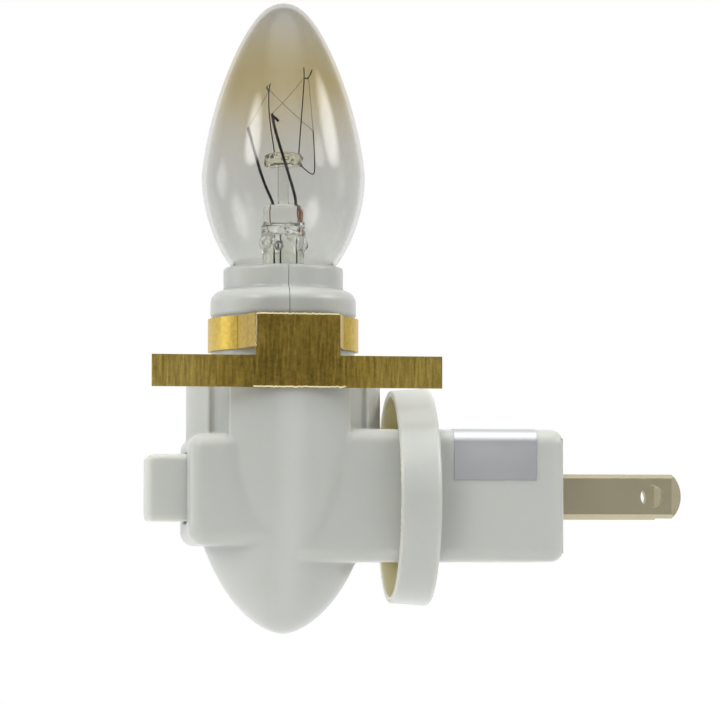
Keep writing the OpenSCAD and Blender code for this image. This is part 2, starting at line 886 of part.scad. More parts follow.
module plug_end_plate() {
    color("gainsboro")
        lamp_frame()
            difference() {
                end_recess(0, 0);
                for (s = [-1, 1])
                    translate([0, s * blade_pitch / 2, 0])
                        span(
                            [axis_reach - end_plate_t - over, -blade_t / 2 - slot_fit, -blade_w / 2 - slot_fit],
                            [axis_reach + over, blade_t / 2 + slot_fit, blade_w / 2 + slot_fit]);
            }
}

// The blade's bar along x, from its tail inside the plug on past its tip, with sloped long edges
module blade_bar() {
    flat = blade_w / 2 - edge_slope_w;
    crest = blade_t / 2 - edge_slope_depth;
    translate([-blade_tail, 0, 0])
        rotate([90, 0, 90])
            linear_extrude(height = blade_tail + blade_len + over)
                polygon([
                    [-blade_t / 2, -flat], [-crest, -blade_w / 2], [crest, -blade_w / 2], [blade_t / 2, -flat],
                    [blade_t / 2, flat], [crest, blade_w / 2], [-crest, blade_w / 2], [-blade_t / 2, flat]]);
}

// The space behind the round tip, seen from the side
module behind_round_tip() {
    translate([0, blade_t, 0])
        rotate([90, 0, 0])
            linear_extrude(height = 2 * blade_t) {
                translate([-blade_tail - over, -blade_w / 2 - over])
                    square([blade_tail + over + blade_len - blade_tip_r, blade_w + 2 * over]);
                translate([blade_len - blade_tip_r, 0])
                    circle(r = blade_tip_r);
            }
}

// The space between the slopes of the thinned tip, seen from above
module between_tapers() {
    slope = tip_taper_depth / tip_taper_len;
    tip_half = blade_t / 2 - tip_taper_depth - slope * over;
    start = blade_len - tip_taper_len - blade_t / 2 / slope;
    translate([0, 0, -blade_w])
        linear_extrude(height = 2 * blade_w)
            polygon([
                [-blade_tail - over, -blade_t], [start, -blade_t], [blade_len + over, -tip_half],
                [blade_len + over, tip_half], [start, blade_t], [-blade_tail - over, blade_t]]);
}

module blade(side) {
    translate([0, side * blade_pitch / 2, 0])
        difference() {
            intersection() {
                blade_bar();
                behind_round_tip();
                between_tapers();
            }
            translate([blade_len - blade_hole_inset, blade_t, 0])
                rotate([90, 0, 0])
                    cylinder(r = blade_hole_r, h = 2 * blade_t);
            translate([rivet_x - axis_reach, blade_t, 0])
                rotate([90, 0, 0])
                    cylinder(r = rivet_r + hole_fit, h = 2 * blade_t);
        }
}

module blade_near() {
    color("darkkhaki")
        blade(-1);
}

module blade_rear() {
    color("darkkhaki")
        blade(1);
}

// A spring strip beside the blade on one side, whose finger bends towards the axis at finger_x
module brush(side, finger_x, finger_y) {
    inner = side > 0 ? brush_y : -brush_y - brush_t;
    difference() {
        union() {
            span([finger_x, inner, -brush_w / 2], [brush_end_x, inner + brush_t, brush_w / 2]);
            span(
                [finger_x, min(finger_y, inner), -brush_w / 2],
                [finger_x + brush_t, max(finger_y, inner + brush_t), brush_w / 2]);
        }
        translate([rivet_x, inner + brush_t + over, 0])
            rotate([90, 0, 0])
                cylinder(r = rivet_r + hole_fit, h = brush_t + 2 * over);
    }
}

module brush_ring() {
    color("peru")
        lamp_frame()
            brush(1, slip_ring_face_x + brush_gap, brush_y - ring_finger_len + brush_t);
}

module brush_centre() {
    color("peru")
        lamp_frame()
            brush(-1, slip_head_face_x + brush_gap, centre_finger_past);
}

module brush_rivets() {
    color("silver")
        lamp_frame()
            for (s = [-1, 1])
                translate([rivet_x, 0, 0])
                    rotate([s * 90, 0, 0])
                        translate([0, 0, -blade_pitch / 2 - blade_t / 2 - rivet_head_t])
                            rivet(blade_t + brush_t);
}

module rivet(grip) {
    cylinder(r = rivet_head_r, h = rivet_head_t);
    cylinder(r = rivet_r, h = grip + 2 * rivet_head_t);
    translate([0, 0, grip + rivet_head_t])
        cylinder(r = rivet_head_r, h = rivet_head_t);
}

// Foil that starts on the front face, follows the rounded edge and ends on the top face
module rating_label() {
    color("silver")
        lamp_frame()
            intersection() {
                translate([cup_back_x, 0, 0])
                    rotate([90, 0, 90])
                        linear_extrude(height = plug_len)
                            difference() {
                                round_rect(plug_w + 2 * label_t, plug_h + 2 * label_t, plug_edge_r + label_t);
                                round_rect(plug_w, plug_h, plug_edge_r);
                            }
                span(
                    [cup_back_x + label_inset, -plug_w, label_low_z],
                    [cup_back_x + label_inset + label_len, label_top_w - plug_w / 2, plug_h]);
            }
}

module slip_carrier() {
    color("saddlebrown")
        lamp_frame()
            difference() {
                union() {
                    x_rod(carrier_x, carrier_face_x, carrier_r);
                    x_rod(carrier_x - carrier_plug_len, carrier_x, spigot_bore_r - carrier_fit);
                    x_rod(carrier_face_x, carrier_face_x + carrier_boss_len, carrier_boss_r);
                }
                x_rod(carrier_x - carrier_plug_len - over, carrier_face_x + carrier_boss_len + over,
                    slip_tail_r + hole_fit);
                translate([carrier_face_x, 0, 0])
                    span(
                        [-carrier_t - carrier_plug_len - over, -slip_tab_w / 2 - slot_fit, slip_ring_inner_r - slot_fit],
                        [over, slip_tab_w / 2 + slot_fit, slip_ring_inner_r + strip_t + slot_fit]);
            }
}

module slip_ring() {
    color("goldenrod")
        lamp_frame() {
            difference() {
                x_rod(carrier_face_x, slip_ring_face_x, slip_ring_r);
                x_rod(carrier_face_x - over, slip_ring_face_x + over, slip_ring_inner_r);
            }
            span(
                [slip_tab_x, -slip_tab_w / 2, slip_ring_inner_r],
                [slip_ring_face_x, slip_tab_w / 2, slip_ring_inner_r + strip_t]);
        }
}

module slip_centre_contact() {
    color("goldenrod")
        lamp_frame() {
            x_rod(carrier_face_x + carrier_boss_len, slip_head_face_x, slip_head_r);
            x_rod(slip_tail_x, slip_head_face_x, slip_tail_r);
        }
}

module socket_insulator() {
    color("dimgray")
        lamp_frame()
            difference() {
                translate([0, 0, socket_seat_z])
                    cylinder(r = insulator_r, h = socket_top_z - socket_seat_z);
                translate([0, 0, terminal_z])
                    cylinder(r = insulator_bore_r, h = socket_top_z);
                translate([0, 0, socket_seat_z + socket_floor])
                    cylinder(r = ledge_r, h = socket_top_z);
                translate([0, 0, socket_seat_z - over])
                    cylinder(r = centre_tail_r + hole_fit, h = socket_floor + 2 * over);
                span(
                    [terminal_tail_x - slot_fit, -terminal_w / 2 - slot_fit, socket_seat_z - over],
                    [terminal_tail_x + terminal_t + slot_fit, terminal_w / 2 + slot_fit, terminal_z + over]);
            }
}

module socket_screw_shell() {
    rows = round((socket_top_z - screw_foot_z) / pitch * thread_steps);
    color("goldenrod")
        lamp_frame()
            threaded_shell(
                [for (i = [0:rows])
                    [screw_foot_z + (socket_top_z - screw_foot_z) * i / rows, screw_shell_r, thread_amp]],
                shell_t);
}

module socket_shell_terminal() {
    color("goldenrod")
        lamp_frame() {
            difference() {
                translate([0, 0, terminal_z])
                    cylinder(r = insulator_bore_r - slot_fit, h = terminal_t);
                translate([0, 0, terminal_z - over])
                    cylinder(r = ledge_r, h = terminal_t + 2 * over);
            }
            span(
                [terminal_tail_x, -terminal_w / 2, socket_seat_z - terminal_drop],
                [terminal_tail_x + terminal_t, terminal_w / 2, terminal_z + terminal_t / 2]);
        }
}

module socket_centre_contact() {
    floor_z = socket_seat_z + socket_floor;
    dome_h = bulb_foot_z - centre_dome_gap - floor_z - centre_head_t;
    color("goldenrod")
        lamp_frame() {
            translate([0, 0, floor_z])
                cylinder(r = centre_head_r, h = centre_head_t);
            translate([0, 0, floor_z + centre_head_t])
                cylinder(r1 = centre_dome_r, r2 = centre_dome_r / 2, h = dome_h);
            translate([0, 0, socket_seat_z - centre_tail_drop])
                cylinder(r = centre_tail_r, h = socket_floor + centre_tail_drop + centre_head_t);
            translate([0, 0, socket_seat_z - centre_rivet_t])
                cylinder(r = centre_rivet_r, h = centre_rivet_t);
        }
}

// Push switch
base_low_z = wall - boss_drop + base_gap;
base_high_z = boss_top_z - wall - base_gap;

module switch_frame() {
    translate([0, 0, button_z])
        children();
}

module switch_base() {
    color("saddlebrown")
        lamp_frame()
            difference() {
                span([base_x, -base_half_y, base_low_z], [base_back_x, base_half_y, base_high_z]);
                switch_frame()
                    x_rod(base_x - over, base_back_x + over, hub_r + hub_fit);
            }
}

// A flat contact on the back of the base, from beside the hub out to its solder tab
module switch_contact() {
    translate([0, 0, button_z]) {
        span(
            [base_back_x, contact_in, -contact_w / 2],
            [base_back_x + contact_t, contact_out, contact_w / 2]);
        span(
            [base_back_x, contact_in, -contact_pad_w / 2],
            [base_back_x + contact_t, contact_pad_end, contact_pad_w / 2]);
    }
}

module switch_contact_load() {
    color("goldenrod")
        lamp_frame()
            switch_contact();
}

module switch_contact_line() {
    color("goldenrod")
        lamp_frame()
            mirror([0, 1, 0])
                switch_contact();
}

module switch_button() {
    len = flange_x + flange_t - button_face_x;
    color("gainsboro")
        lamp_frame()
            switch_frame()
                difference() {
                    union() {
                        translate([button_face_x + len, 0, 0])
                            mirror([1, 0, 0])
                                soft_bar(len, button_w, button_h, button_edge_r, button_edge_r);
                        span(
                            [flange_x, -button_w / 2 - flange_w, -button_h / 2 - flange_w],
                            [flange_x + flange_t, button_w / 2 + flange_w, button_h / 2 + flange_w]);
                    }
                    difference() {
                        span(
                            [button_face_x + button_wall, button_wall - button_w / 2, button_wall - button_h / 2],
                            [flange_x + flange_t + over, button_w / 2 - button_wall, button_h / 2 - button_wall]);
                        x_rod(button_face_x, button_face_x + button_wall + stem_boss_len, stem_boss_r);
                    }
                    x_rod(button_face_x + button_wall + stem_seat - stem_fit,
                        button_face_x + button_wall + stem_boss_len + over, stem_r + stem_fit);
                }
}

module switch_plunger() {
    color("white")
        lamp_frame()
            switch_frame() {
                x_rod(button_face_x + button_wall + stem_seat, stem_end_x, stem_r);
                translate([cross_pin_x, cross_pin_half, 0])
                    rotate([90, 0, 0])
                        cylinder(r = cross_pin_r, h = 2 * cross_pin_half);
            }
}

// The slot's angle falls steadily with x, so a pin that moves along x without turning drives the rotor round
module cam_slot() {
    x0 = hub_front_x - over;
    len = cross_pin_x + button_travel + cross_pin_r + over / 2 - x0;
    turn_per_mm = rotor_turn / button_travel;
    translate([x0, 0, 0])
        rotate([90, 0, 90])
            rotate([0, 0, turn_per_mm * (cross_pin_x - x0)])
                linear_extrude(height = len, twist = turn_per_mm * len, slices = cam_slices, segments = cam_segments)
                    square([2 * (lip_r + over), cam_slot_w], center = true);
}

module switch_rotor() {
    color("ivory")
        lamp_frame()
            switch_frame()
                union() {
                    difference() {
                        union() {
                            x_rod(hub_front_x, rotor_x, hub_r);
                            x_rod(hub_front_x, hub_front_x + lip_t, lip_r);
                        }
                        x_rod(hub_front_x - over, rotor_x + over, hub_bore_r);
                        cam_slot();
                    }
                    difference() {
                        x_rod(rotor_x, rotor_x + rotor_t, rotor_r);
                        x_rod(rotor_x - over, rotor_x + rotor_t / 2, hub_r - over);
                    }
                }
}

module switch_bridge() {
    color("goldenrod")
        lamp_frame()
            switch_frame()
                difference() {
                    union() {
                        span([bridge_x, -bridge_half, -bridge_w / 2], [rotor_x, bridge_half, bridge_w / 2]);
                        x_rod(bridge_x, rotor_x, bridge_ring_r);
                    }
                    x_rod(bridge_x - over, rotor_x + over, hub_r + hub_fit);
                }
}

// Return spring between the button's flange and the base: one unbroken tube
spring_low_x = flange_x + flange_t + spring_wire_r + brush_gap;
spring_high_x = base_x - spring_wire_r - brush_gap;
spring_rings = 10;

spring_path = [
    for (i = [0:spring_turns * spring_rings])
        let (a = 360 * i / spring_rings)
            [spring_low_x + (spring_high_x - spring_low_x) * i / (spring_turns * spring_rings),
            spring_r * cos(a), spring_r * sin(a)]];

// Least distance between turns of the spring, measured on its points, less the wire
spring_gap = min([
    for (i = [0:len(spring_path) - 1], j = [i + floor(spring_rings / 2):1:len(spring_path) - 1])
        norm(spring_path[i] - spring_path[j])]) - 2 * spring_wire_r;

module switch_spring() {
    echo(least_gap_of_the_return_spring = spring_gap);
    color("silver")
        lamp_frame()
            switch_frame()
                tube(spring_path, spring_wire_r, fine_sides, [1, 0, 0]);
}

// Wires inside the housing, about the bulb axis
wire_r = wire_d / 2;
wire_sides = 8;
solder_gap = 0.1;
line_tab = [base_back_x + contact_t + wire_r + solder_gap, contact_w / 2 - contact_out, button_z];
load_tab = [line_tab[0], -line_tab[1], button_z];
line_start = [slip_tail_x - solder_gap, 0, 0];
neutral_start = [slip_tab_x - solder_gap, 0, slip_ring_inner_r + strip_t / 2];
neutral_end = [terminal_tail_x + terminal_t / 2, 0, socket_seat_z - terminal_drop - solder_gap];
load_end = [0, 0, socket_seat_z - centre_tail_drop - solder_gap];

line_route_shares = [[0.18, 0, 0], [0.45, 0.35, -2.4], [0.80, 0.95, -1.6], [0.94, 1, -0.2]];
load_route_shares = [[0.5, 0, 0.15], [1, 0.25, 0.50], [1, 0.75, 0.75], [1, 1, 0.88]];
neutral_route_shares = [[0.25, 0, 0], [0.70, 0, 0.20], [1, 0, 0.70]];

// A wire from a to b that bends near the points given by shares of the way
module wire(a, b, route_shares, up) {
    lamp_frame()
        tube(
            smooth(smooth(concat([a], [for (s = route_shares) between(a, b, s)], [b]))),
            wire_r, wire_sides, up);
}

module wire_line() {
    color("black")
        wire(line_start, line_tab, line_route_shares, [0, 0, 1]);
}

module wire_load() {
    color("black")
        wire(load_tab, load_end, load_route_shares, [1, 0, 0]);
}

module wire_neutral() {
    color("white")
        wire(neutral_start, neutral_end, neutral_route_shares, [0, 1, 0]);
}

// Brass bracket, a single bent sheet
bracket_reach = body_r + bracket_gap + sheet_t;
ring_in_r = neck_r + ring_fit;
ring_out_r = ring_in_r + sheet_t;
ring_back_gap = 1.0;
leg_angle = 45;
leg_lap_angle = 3;
leg_inset = 0.03;

// A place on a circle about the neck, by its angle from the front
function on_ring(r, angle) = [r * sin(angle), -r * cos(angle)];

// The strip seen from above: a ring open at its front and back, and two legs that run to the tab's ends
module ring_plan() {
    difference() {
        circle(r = ring_out_r);
        circle(r = ring_in_r);
        polygon([[0, 0], on_ring(far, leg_angle), on_ring(far, -leg_angle)]);
        translate([-ring_back_gap / 2, 0])
            square([ring_back_gap, far]);
    }
    for (s = [-1, 1])
        polygon([
            on_ring(ring_out_r - leg_inset, s * leg_angle),
            on_ring((ring_in_r + ring_out_r) / 2, s * (leg_angle + leg_lap_angle)),
            on_ring(ring_in_r + leg_inset, s * leg_angle),
            [s * (tab_half_w - sheet_t), sheet_t / 2 - bracket_reach],
            [s * (tab_half_w - leg_inset), sheet_t / 2 - bracket_reach]]);
}

module brass_bracket() {
    color("darkgoldenrod")
        lamp_frame()
            rotate([0, 0, bracket_turn])
                union() {
                    translate([0, 0, ring_low_z])
                        linear_extrude(height = bracket_top_z - ring_low_z)
                            ring_plan();
                    span(
                        [-tab_half_w, -bracket_reach, bar_low_z + bar_w / 2],
                        [tab_half_w, sheet_t - bracket_reach, bracket_top_z]);
                    span(
                        [-bar_len / 2, -bracket_reach, bar_low_z],
                        [bar_len / 2, sheet_t - bracket_reach, bar_low_z + bar_w]);
                }
}

// Bulb outline from the cap up to the tip, drawn in by inset
function glass_outline(inset) = concat(
    [[glass_neck_r - inset, glass_foot_z]],
    [[glass_neck_r - inset, cap_top_z + glass_seat]],
    [for (i = [glass_steps / 2:-1:0])
        let (drop = (glass_wide_z - glass_waist_z) * sin(90 * i / (glass_steps / 2)))
            [glass_r * sqrt(1 - pow(drop / glass_low_len, glass_low_power)) - inset, glass_wide_z - drop]],
    [for (i = [1:glass_steps])
        let (s = sin(90 * i / glass_steps),
            nose = glass_top_nose + (glass_tip_nose - glass_top_nose) * pow(s, glass_nose_power))
            [(glass_r - inset) * pow(max(0, 1 - pow(s, glass_top_power)), nose),
            glass_wide_z + (glass_tip_z - inset - glass_wide_z) * s]]);

module bulb_glass() {
    color([0.95, 0.93, 0.85, 0.35])
        lamp_frame()
            rotate_extrude()
                polygon(concat(glass_outline(0), reversed(glass_outline(glass_t))));
}

module bulb_stem() {
    color([0.9, 0.95, 0.92, 0.5])
        lamp_frame() {
            rotate_extrude()
                polygon([
                    [glass_neck_r - glass_t - slot_fit, glass_foot_z],
                    [glass_neck_r - glass_t - slot_fit, glass_foot_z + stem_tube_t],
                    [stem_tube_r + stem_tube_t, glass_foot_z + 3 * stem_tube_t],
                    [stem_tube_r, press_low_z - stem_tube_r],
                    [stem_tube_r, press_low_z],
                    [stem_tube_r - stem_tube_t, press_low_z],
                    [stem_tube_r - stem_tube_t, glass_foot_z + 2 * stem_tube_t],
                    [stem_tube_r, glass_foot_z]]);
            span(
                [-press_half_w, -press_half_t, press_low_z - stem_tube_t],
                [press_half_w, press_half_t, press_top_z]);
            translate([0, 0, press_top_z])
                cylinder(r = rod_r, h = (bead_low_z + bead_top_z) / 2 - press_top_z);
            translate([0, 0, bead_low_z])
                glass_bead(bead_top_z - bead_low_z);
        }
}

// The yellowish button of glass that the support wires stand in
module glass_bead(h) {
    rotate_extrude()
        polygon(concat(
            [[0, 0]],
            [for (i = [0:2 * arc_steps])
                let (a = 90 * i / arc_steps)
                    [glass_button_r * (1 + bead_belly_share * (sin(a) - 1)), h * (1 - cos(a)) / 2]],
            [[0, h]]));
}

module fine_wire(p, d) {
    lamp_frame()
        tube(p, d / 2, fine_sides, fine_up);
}

module bulb_lead_wires() {
    press_top = [0, 0, press_top_z];
    left_root = press_top + press_half_w * left_root_shares;
    centre_root = press_top + press_half_w * centre_root_shares;
    rise = [0, 0, wire_rise_share * lead_d];
    color("dimgray") {
        fine_wire([left_root, left_root + rise, left_bend, left_tip], lead_d);
        fine_wire([centre_root, centre_root + rise, centre_bend, centre_middle, centre_tip], lead_d);
    }
}

module bulb_support_wires() {
    rise = [0, 0, wire_rise_share * anchor_d];
    color("dimgray")
        for (tip = [back_anchor, left_anchor, right_anchor])
            let (root = [
                sign(tip[0]) * glass_button_r * anchor_root_share,
                tip[1] * anchor_root_share,
                bead_top_z])
                fine_wire([root, root + rise, between(root, tip, anchor_middle_shares), tip], anchor_d);
}

module bulb_filament() {
    color("black")
        fine_wire([centre_tip, back_anchor, right_anchor, left_anchor, left_tip], filament_d);
}

module bulb_cap() {
    thread_low_z = cap_foot_z + thread_foot;
    thread_top_z = cap_skirt_z - thread_head;
    rows = round((thread_top_z - thread_low_z) / pitch * thread_steps);
    color("silver")
        lamp_frame()
            threaded_shell(concat(
                [[cap_foot_z, cap_foot_r, 0], [cap_foot_z + shell_t, cap_foot_r + shell_t, 0]],
                [for (i = [0:rows])
                    let (amp = thread_amp * min(1, i / 2, (rows - i) / 2))
                        [thread_low_z + (thread_top_z - thread_low_z) * i / rows,
                        cap_thread_r - thread_amp + amp, amp]],
                [[cap_skirt_z - cap_cone_h, cap_thread_r - thread_amp, 0], [cap_skirt_z, cap_skirt_r, 0],
                [cap_top_z, cap_skirt_r, 0]]), shell_t);
}

module bulb_cap_insulator() {
    color("black")
        lamp_frame()
            translate([0, 0, cone_foot_z])
                cylinder(r1 = cone_foot_r, r2 = cap_foot_r - shell_t - slot_fit,
                    h = cap_foot_z + shell_t - cone_foot_z);
}

module bulb_tip_contact() {
    color("silver")
        lamp_frame()
            translate([0, 0, bulb_foot_z])
                rotate_extrude()
                    polygon([for (s = tip_shares) [s[0] * tip_r, s[1] * tip_h]]);
}

plug_shell();
plug_end_plate();
blade_near();
blade_rear();
brush_ring();
brush_centre();
brush_rivets();
rating_label();
housing_left();
housing_right();
slip_carrier();
slip_ring();
slip_centre_contact();
socket_insulator();
socket_screw_shell();
socket_shell_terminal();
socket_centre_contact();
switch_base();
switch_contact_line();
switch_contact_load();
switch_spring();
switch_button();
switch_plunger();
switch_rotor();
switch_bridge();
wire_line();
wire_load();
wire_neutral();
brass_bracket();
bulb_glass();
bulb_stem();
bulb_lead_wires();
bulb_support_wires();
bulb_filament();
bulb_cap();
bulb_cap_insulator();
bulb_tip_contact();
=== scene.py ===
import json
import math

import bpy
import numpy as np
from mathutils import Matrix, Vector


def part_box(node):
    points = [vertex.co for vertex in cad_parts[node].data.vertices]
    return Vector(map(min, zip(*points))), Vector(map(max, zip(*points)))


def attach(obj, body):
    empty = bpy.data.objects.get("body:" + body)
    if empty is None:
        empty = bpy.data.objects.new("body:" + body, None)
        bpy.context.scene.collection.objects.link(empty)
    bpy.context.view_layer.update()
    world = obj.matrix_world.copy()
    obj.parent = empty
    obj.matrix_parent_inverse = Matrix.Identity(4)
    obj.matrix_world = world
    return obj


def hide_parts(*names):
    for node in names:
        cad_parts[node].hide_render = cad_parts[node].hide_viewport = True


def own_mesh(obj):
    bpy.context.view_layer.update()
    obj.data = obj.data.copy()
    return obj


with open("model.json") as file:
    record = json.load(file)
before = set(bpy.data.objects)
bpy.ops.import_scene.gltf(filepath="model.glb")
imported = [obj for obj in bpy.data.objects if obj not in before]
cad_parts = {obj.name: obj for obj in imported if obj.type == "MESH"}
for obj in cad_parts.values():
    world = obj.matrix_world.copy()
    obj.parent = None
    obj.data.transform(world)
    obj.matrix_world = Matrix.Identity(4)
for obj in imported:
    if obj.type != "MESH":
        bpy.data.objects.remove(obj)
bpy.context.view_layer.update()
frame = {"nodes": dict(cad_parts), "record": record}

# Shapes are written in millimetres, most of them about the bulb axis, and made in metres
MM = 0.001


def mm_box(node):
    """Lowest and highest corner of a CAD node, in millimetres."""
    return [np.array(corner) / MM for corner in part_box(node)]


GLASS_LOW, GLASS_HIGH = mm_box("bulb_glass")
LEFT_LOW, LEFT_HIGH = mm_box("housing_left")
RIGHT_HIGH = mm_box("housing_right")[1]
PLUG_LOW, PLUG_HIGH = mm_box("plug_shell")
PLATE_LOW, PLATE_HIGH = mm_box("plug_end_plate")
BUTTON_LOW, BUTTON_HIGH = mm_box("switch_button")
STEM_FOOT = mm_box("bulb_stem")[0][2]

AXIS_X = (GLASS_LOW[0] + GLASS_HIGH[0]) / 2

# Housing body and dome, as in the CAD source
BODY_R = (LEFT_HIGH[1] - LEFT_LOW[1]) / 2
BODY_TOP = 17.9
SHOULDER_R = 1.4
STRAIGHT_LOW = 9.66
DOME_TIP = LEFT_LOW[2]
DOME_SWELL = 2.2
DOME_NOSE = 0.58
WALL = 1.6
EDGE_R = 2.0
BLEND_R = 0.3
INNER_EDGE_R = 0.3
INNER_BLEND_R = 0.2
LIP_R = 0.25

# Seam between the housing's halves: closed on the body, a fine groove on the neck. Within the fade's
# width of it, less and less light is scattered in the plastic
SEAM_GAP = 0.004
NECK_SEAM = 0.08
SEAM_FADE = 2.5

# Channels down the body's wall
CHANNEL_W = 3.7
CHANNEL_DEPTH = 0.9
CHANNEL_LOW = 6.8
CHANNEL_ANGLE = 46.5
CHANNEL_SIDE_R = 0.25
CHANNEL_FOOT_R = 0.5
CHANNEL_EDGE_R = 0.3

# Neck, collar and rim, with the socket's shelf inside
NECK_R = 10.05
NECK_TOP = 27.2
NECK_EDGE_R = 0.2
NECK_ROOT_R = 0.4
COLLAR_R = 10.27
COLLAR_H = 1.9
COLLAR_BLEND_R = 0.15
RIM_R = 8.44
RIM_FOOT = 28.9
RIM_TOP = LEFT_HIGH[2]
RIM_EDGE_R = 0.4
RIM_BLEND_R = 0.35
SOCKET_BORE_R = 7.65
SHELF_TOP = 13.8
SHELF_T = 1.4
SHELF_HOLE_R = 7.0
SHELF_EDGE_R = 0.1

# Switch boss and its window
BOSS_REACH = AXIS_X - LEFT_LOW[0]
BOSS_TOP = 8.5
BOSS_LOW = -6.9
WINDOW_DEPTH = 2.0
WINDOW_R = 0.4

# Spigot that the plug turns on
SPIGOT_END = RIGHT_HIGH[0] - AXIS_X
SPIGOT_R = 5.2
SPIGOT_BORE_R = 4.0
SPIGOT_FIT = 0.08
SPIGOT_EDGE_R = 0.2

# Plug, as in the CAD source; its end face is at x = 0 in the model's frame
PLUG_W = 22.6
PLUG_H = 18.4
PLUG_WALL = 1.8
PLUG_END_R = 1.7
PLUG_INNER_R = 0.15
ARM_END_X = 18.7
ARM_END_R = 0.3
SEAT_FIT = 0.05
SEAT_R = 0.2
BORE_EDGE_R = 0.12

# Cup round the plug's back
MOUTH_X = PLUG_LOW[0]
CUP_LEN = 5.6
CUP_WALL = 0.92
CUP_FLARE = 0.4
CUP_FLOOR = 1.5
CUP_EDGE_R = 0.7
CUP_LIP_R = 0.28
CUP_CORNER_R = 0.5
CUP_BLEND_R = 0.45
CUP_BACK_R = (PLUG_HIGH[1] - PLUG_LOW[1]) / 2
CUP_MOUTH_R = CUP_BACK_R - CUP_FLARE
CUP_BACK_X = MOUTH_X + CUP_LEN
CUP_FLOOR_X = CUP_BACK_X - CUP_FLOOR

# Button
BUTTON_W = 9.0
BUTTON_H = 9.35
BUTTON_WALL = 1.1
BUTTON_FIT = 0.25
BUTTON_R = 0.85
BUTTON_BLEND_R = 0.15
BUTTON_HOLLOW_R = 0.3
BUTTON_MIDDLE = (BUTTON_LOW[2] + BUTTON_HIGH[2]) / 2
FLANGE_T = 0.9
FLANGE_R = 0.2

# How far a shape that is cut off square runs past its cut
PAST = 1.0

# Bulb glass
GLASS_R = (GLASS_HIGH[0] - GLASS_LOW[0]) / 2
GLASS_TIP = GLASS_HIGH[2]
GLASS_WIDE = 45.0
GLASS_WAIST = 32.45
GLASS_NECK_R = 6.2
GLASS_NECK_TOP = 31.3
GLASS_T = 0.6
WAIST_SWELL = 1.8
WAIST_REACH = 1.3386
TIP_SWELL = 1.42
TIP_ROUND = 0.56
TIP_SHARPEN = 0.06
GLASS_ROWS = 40
GLASS_SIDES = 128

# Glass stem: a flared tube pressed flat at its top, and a rod that carries the bead
TUBE_R = 2.9
TUBE_T = 0.55
TUBE_ROOF = 1.2
FLARE = 2.3
FLARE_REACH = 0.9
SWELL = 0.5
SWELL_DROP = 2.2
SWELL_REACH = 1.1
PRESS_LOW = 38.07
PRESS_TOP = 41.25
PRESS_ROOT = 1.4
PRESS_HALF_W = 2.8
PRESS_HALF_T = 1.1
PRESS_R = 0.7
PRESS_BLEND_R = 0.8
ROD_R = 0.8
ROD_ROOT = 0.5
ROD_BLEND_R = 0.4
BEAD_LOW = 46.6
BEAD_TOP = 48.5
BEAD_FLAT_R = 1.75
BEAD_SQUEEZE = 0.9
BEAD_REACH = 4.0
TUBE_EDGE_R = 0.1
LUMP_BLEND_R = 0.15

rng = np.random.default_rng(7)


# Distance fields: negative inside, in millimetres, on arrays of x, y and z

def join(a, b, r):
    """Union with a fillet of radius r."""
    u = np.maximum(r - a, 0)
    v = np.maximum(r - b, 0)
    return np.maximum(r, np.minimum(a, b)) - np.hypot(u, v)


def meet(a, b, r):
    """Intersection with its edge rounded by r."""
    u = np.maximum(r + a, 0)
    v = np.maximum(r + b, 0)
    return np.minimum(-r, np.maximum(a, b)) + np.hypot(u, v)


def cut(a, b, r):
    """a without b, with the edge rounded by r."""
    return meet(a, -b, r)


def slab(x, y, z, low, high, r):
    """A box given by its corners, with all its edges rounded by r."""
    q = [np.abs(c - (a + b) / 2) - (b - a) / 2 + r for c, a, b in zip((x, y, z), low, high)]
    outside = np.sqrt(sum(np.maximum(c, 0) ** 2 for c in q))
    return outside + np.minimum(np.maximum(np.maximum(q[0], q[1]), q[2]), 0) - r


def bar_section(y, z, w, h, r):
    """A rectangle with round corners that runs on without end."""
    return slab(y, z, np.zeros_like(y), (-w / 2, -h / 2, -2 * w), (w / 2, h / 2, 2 * w), r)


def barrel(x, y, z, r, length):
    """A round wall whose underside closes in a pointed dome of this length."""
    share = np.hypot(x, y) / r
    s = np.maximum((STRAIGHT_LOW - z) / length, 0)
    power = 1 / DOME_NOSE
    least_slope = 0.01
    value = share ** power + s ** DOME_SWELL - 1
    slope = np.hypot(power / r * share ** (power - 1), DOME_SWELL / length * s ** (DOME_SWELL - 1))
    return value / np.maximum(slope, least_slope)


def neck_and_rim(rho, z):
    """The neck with its collar and the rim on top, down to the socket's shelf."""
    root = SHELF_TOP - z
    neck = np.maximum(meet(rho - NECK_R, z - NECK_TOP, NECK_EDGE_R), root)
    collar = meet(rho - COLLAR_R, z - RIM_FOOT, RIM_FOOT - NECK_TOP)
    collar = meet(collar, NECK_TOP - COLLAR_H - z, NECK_EDGE_R)
    rim = np.maximum(meet(rho - RIM_R, z - RIM_TOP, RIM_EDGE_R), root)
    return join(join(neck, collar, COLLAR_BLEND_R), rim, RIM_BLEND_R)


def channelled(x, y, z, body):
    """The body with two channels down its front and two down its back."""
    for middle in (-90, 90):
        for side in (-CHANNEL_ANGLE, CHANNEL_ANGLE):
            a = math.radians(middle + side)
            along = x * math.cos(a) + y * math.sin(a)
            across = y * math.cos(a) - x * math.sin(a)
            channel = meet(np.abs(across) - CHANNEL_W / 2, BODY_R - CHANNEL_DEPTH - along, CHANNEL_SIDE_R)
            channel = meet(channel, CHANNEL_LOW - z, CHANNEL_FOOT_R)
            body = cut(body, channel, CHANNEL_EDGE_R)
    return body


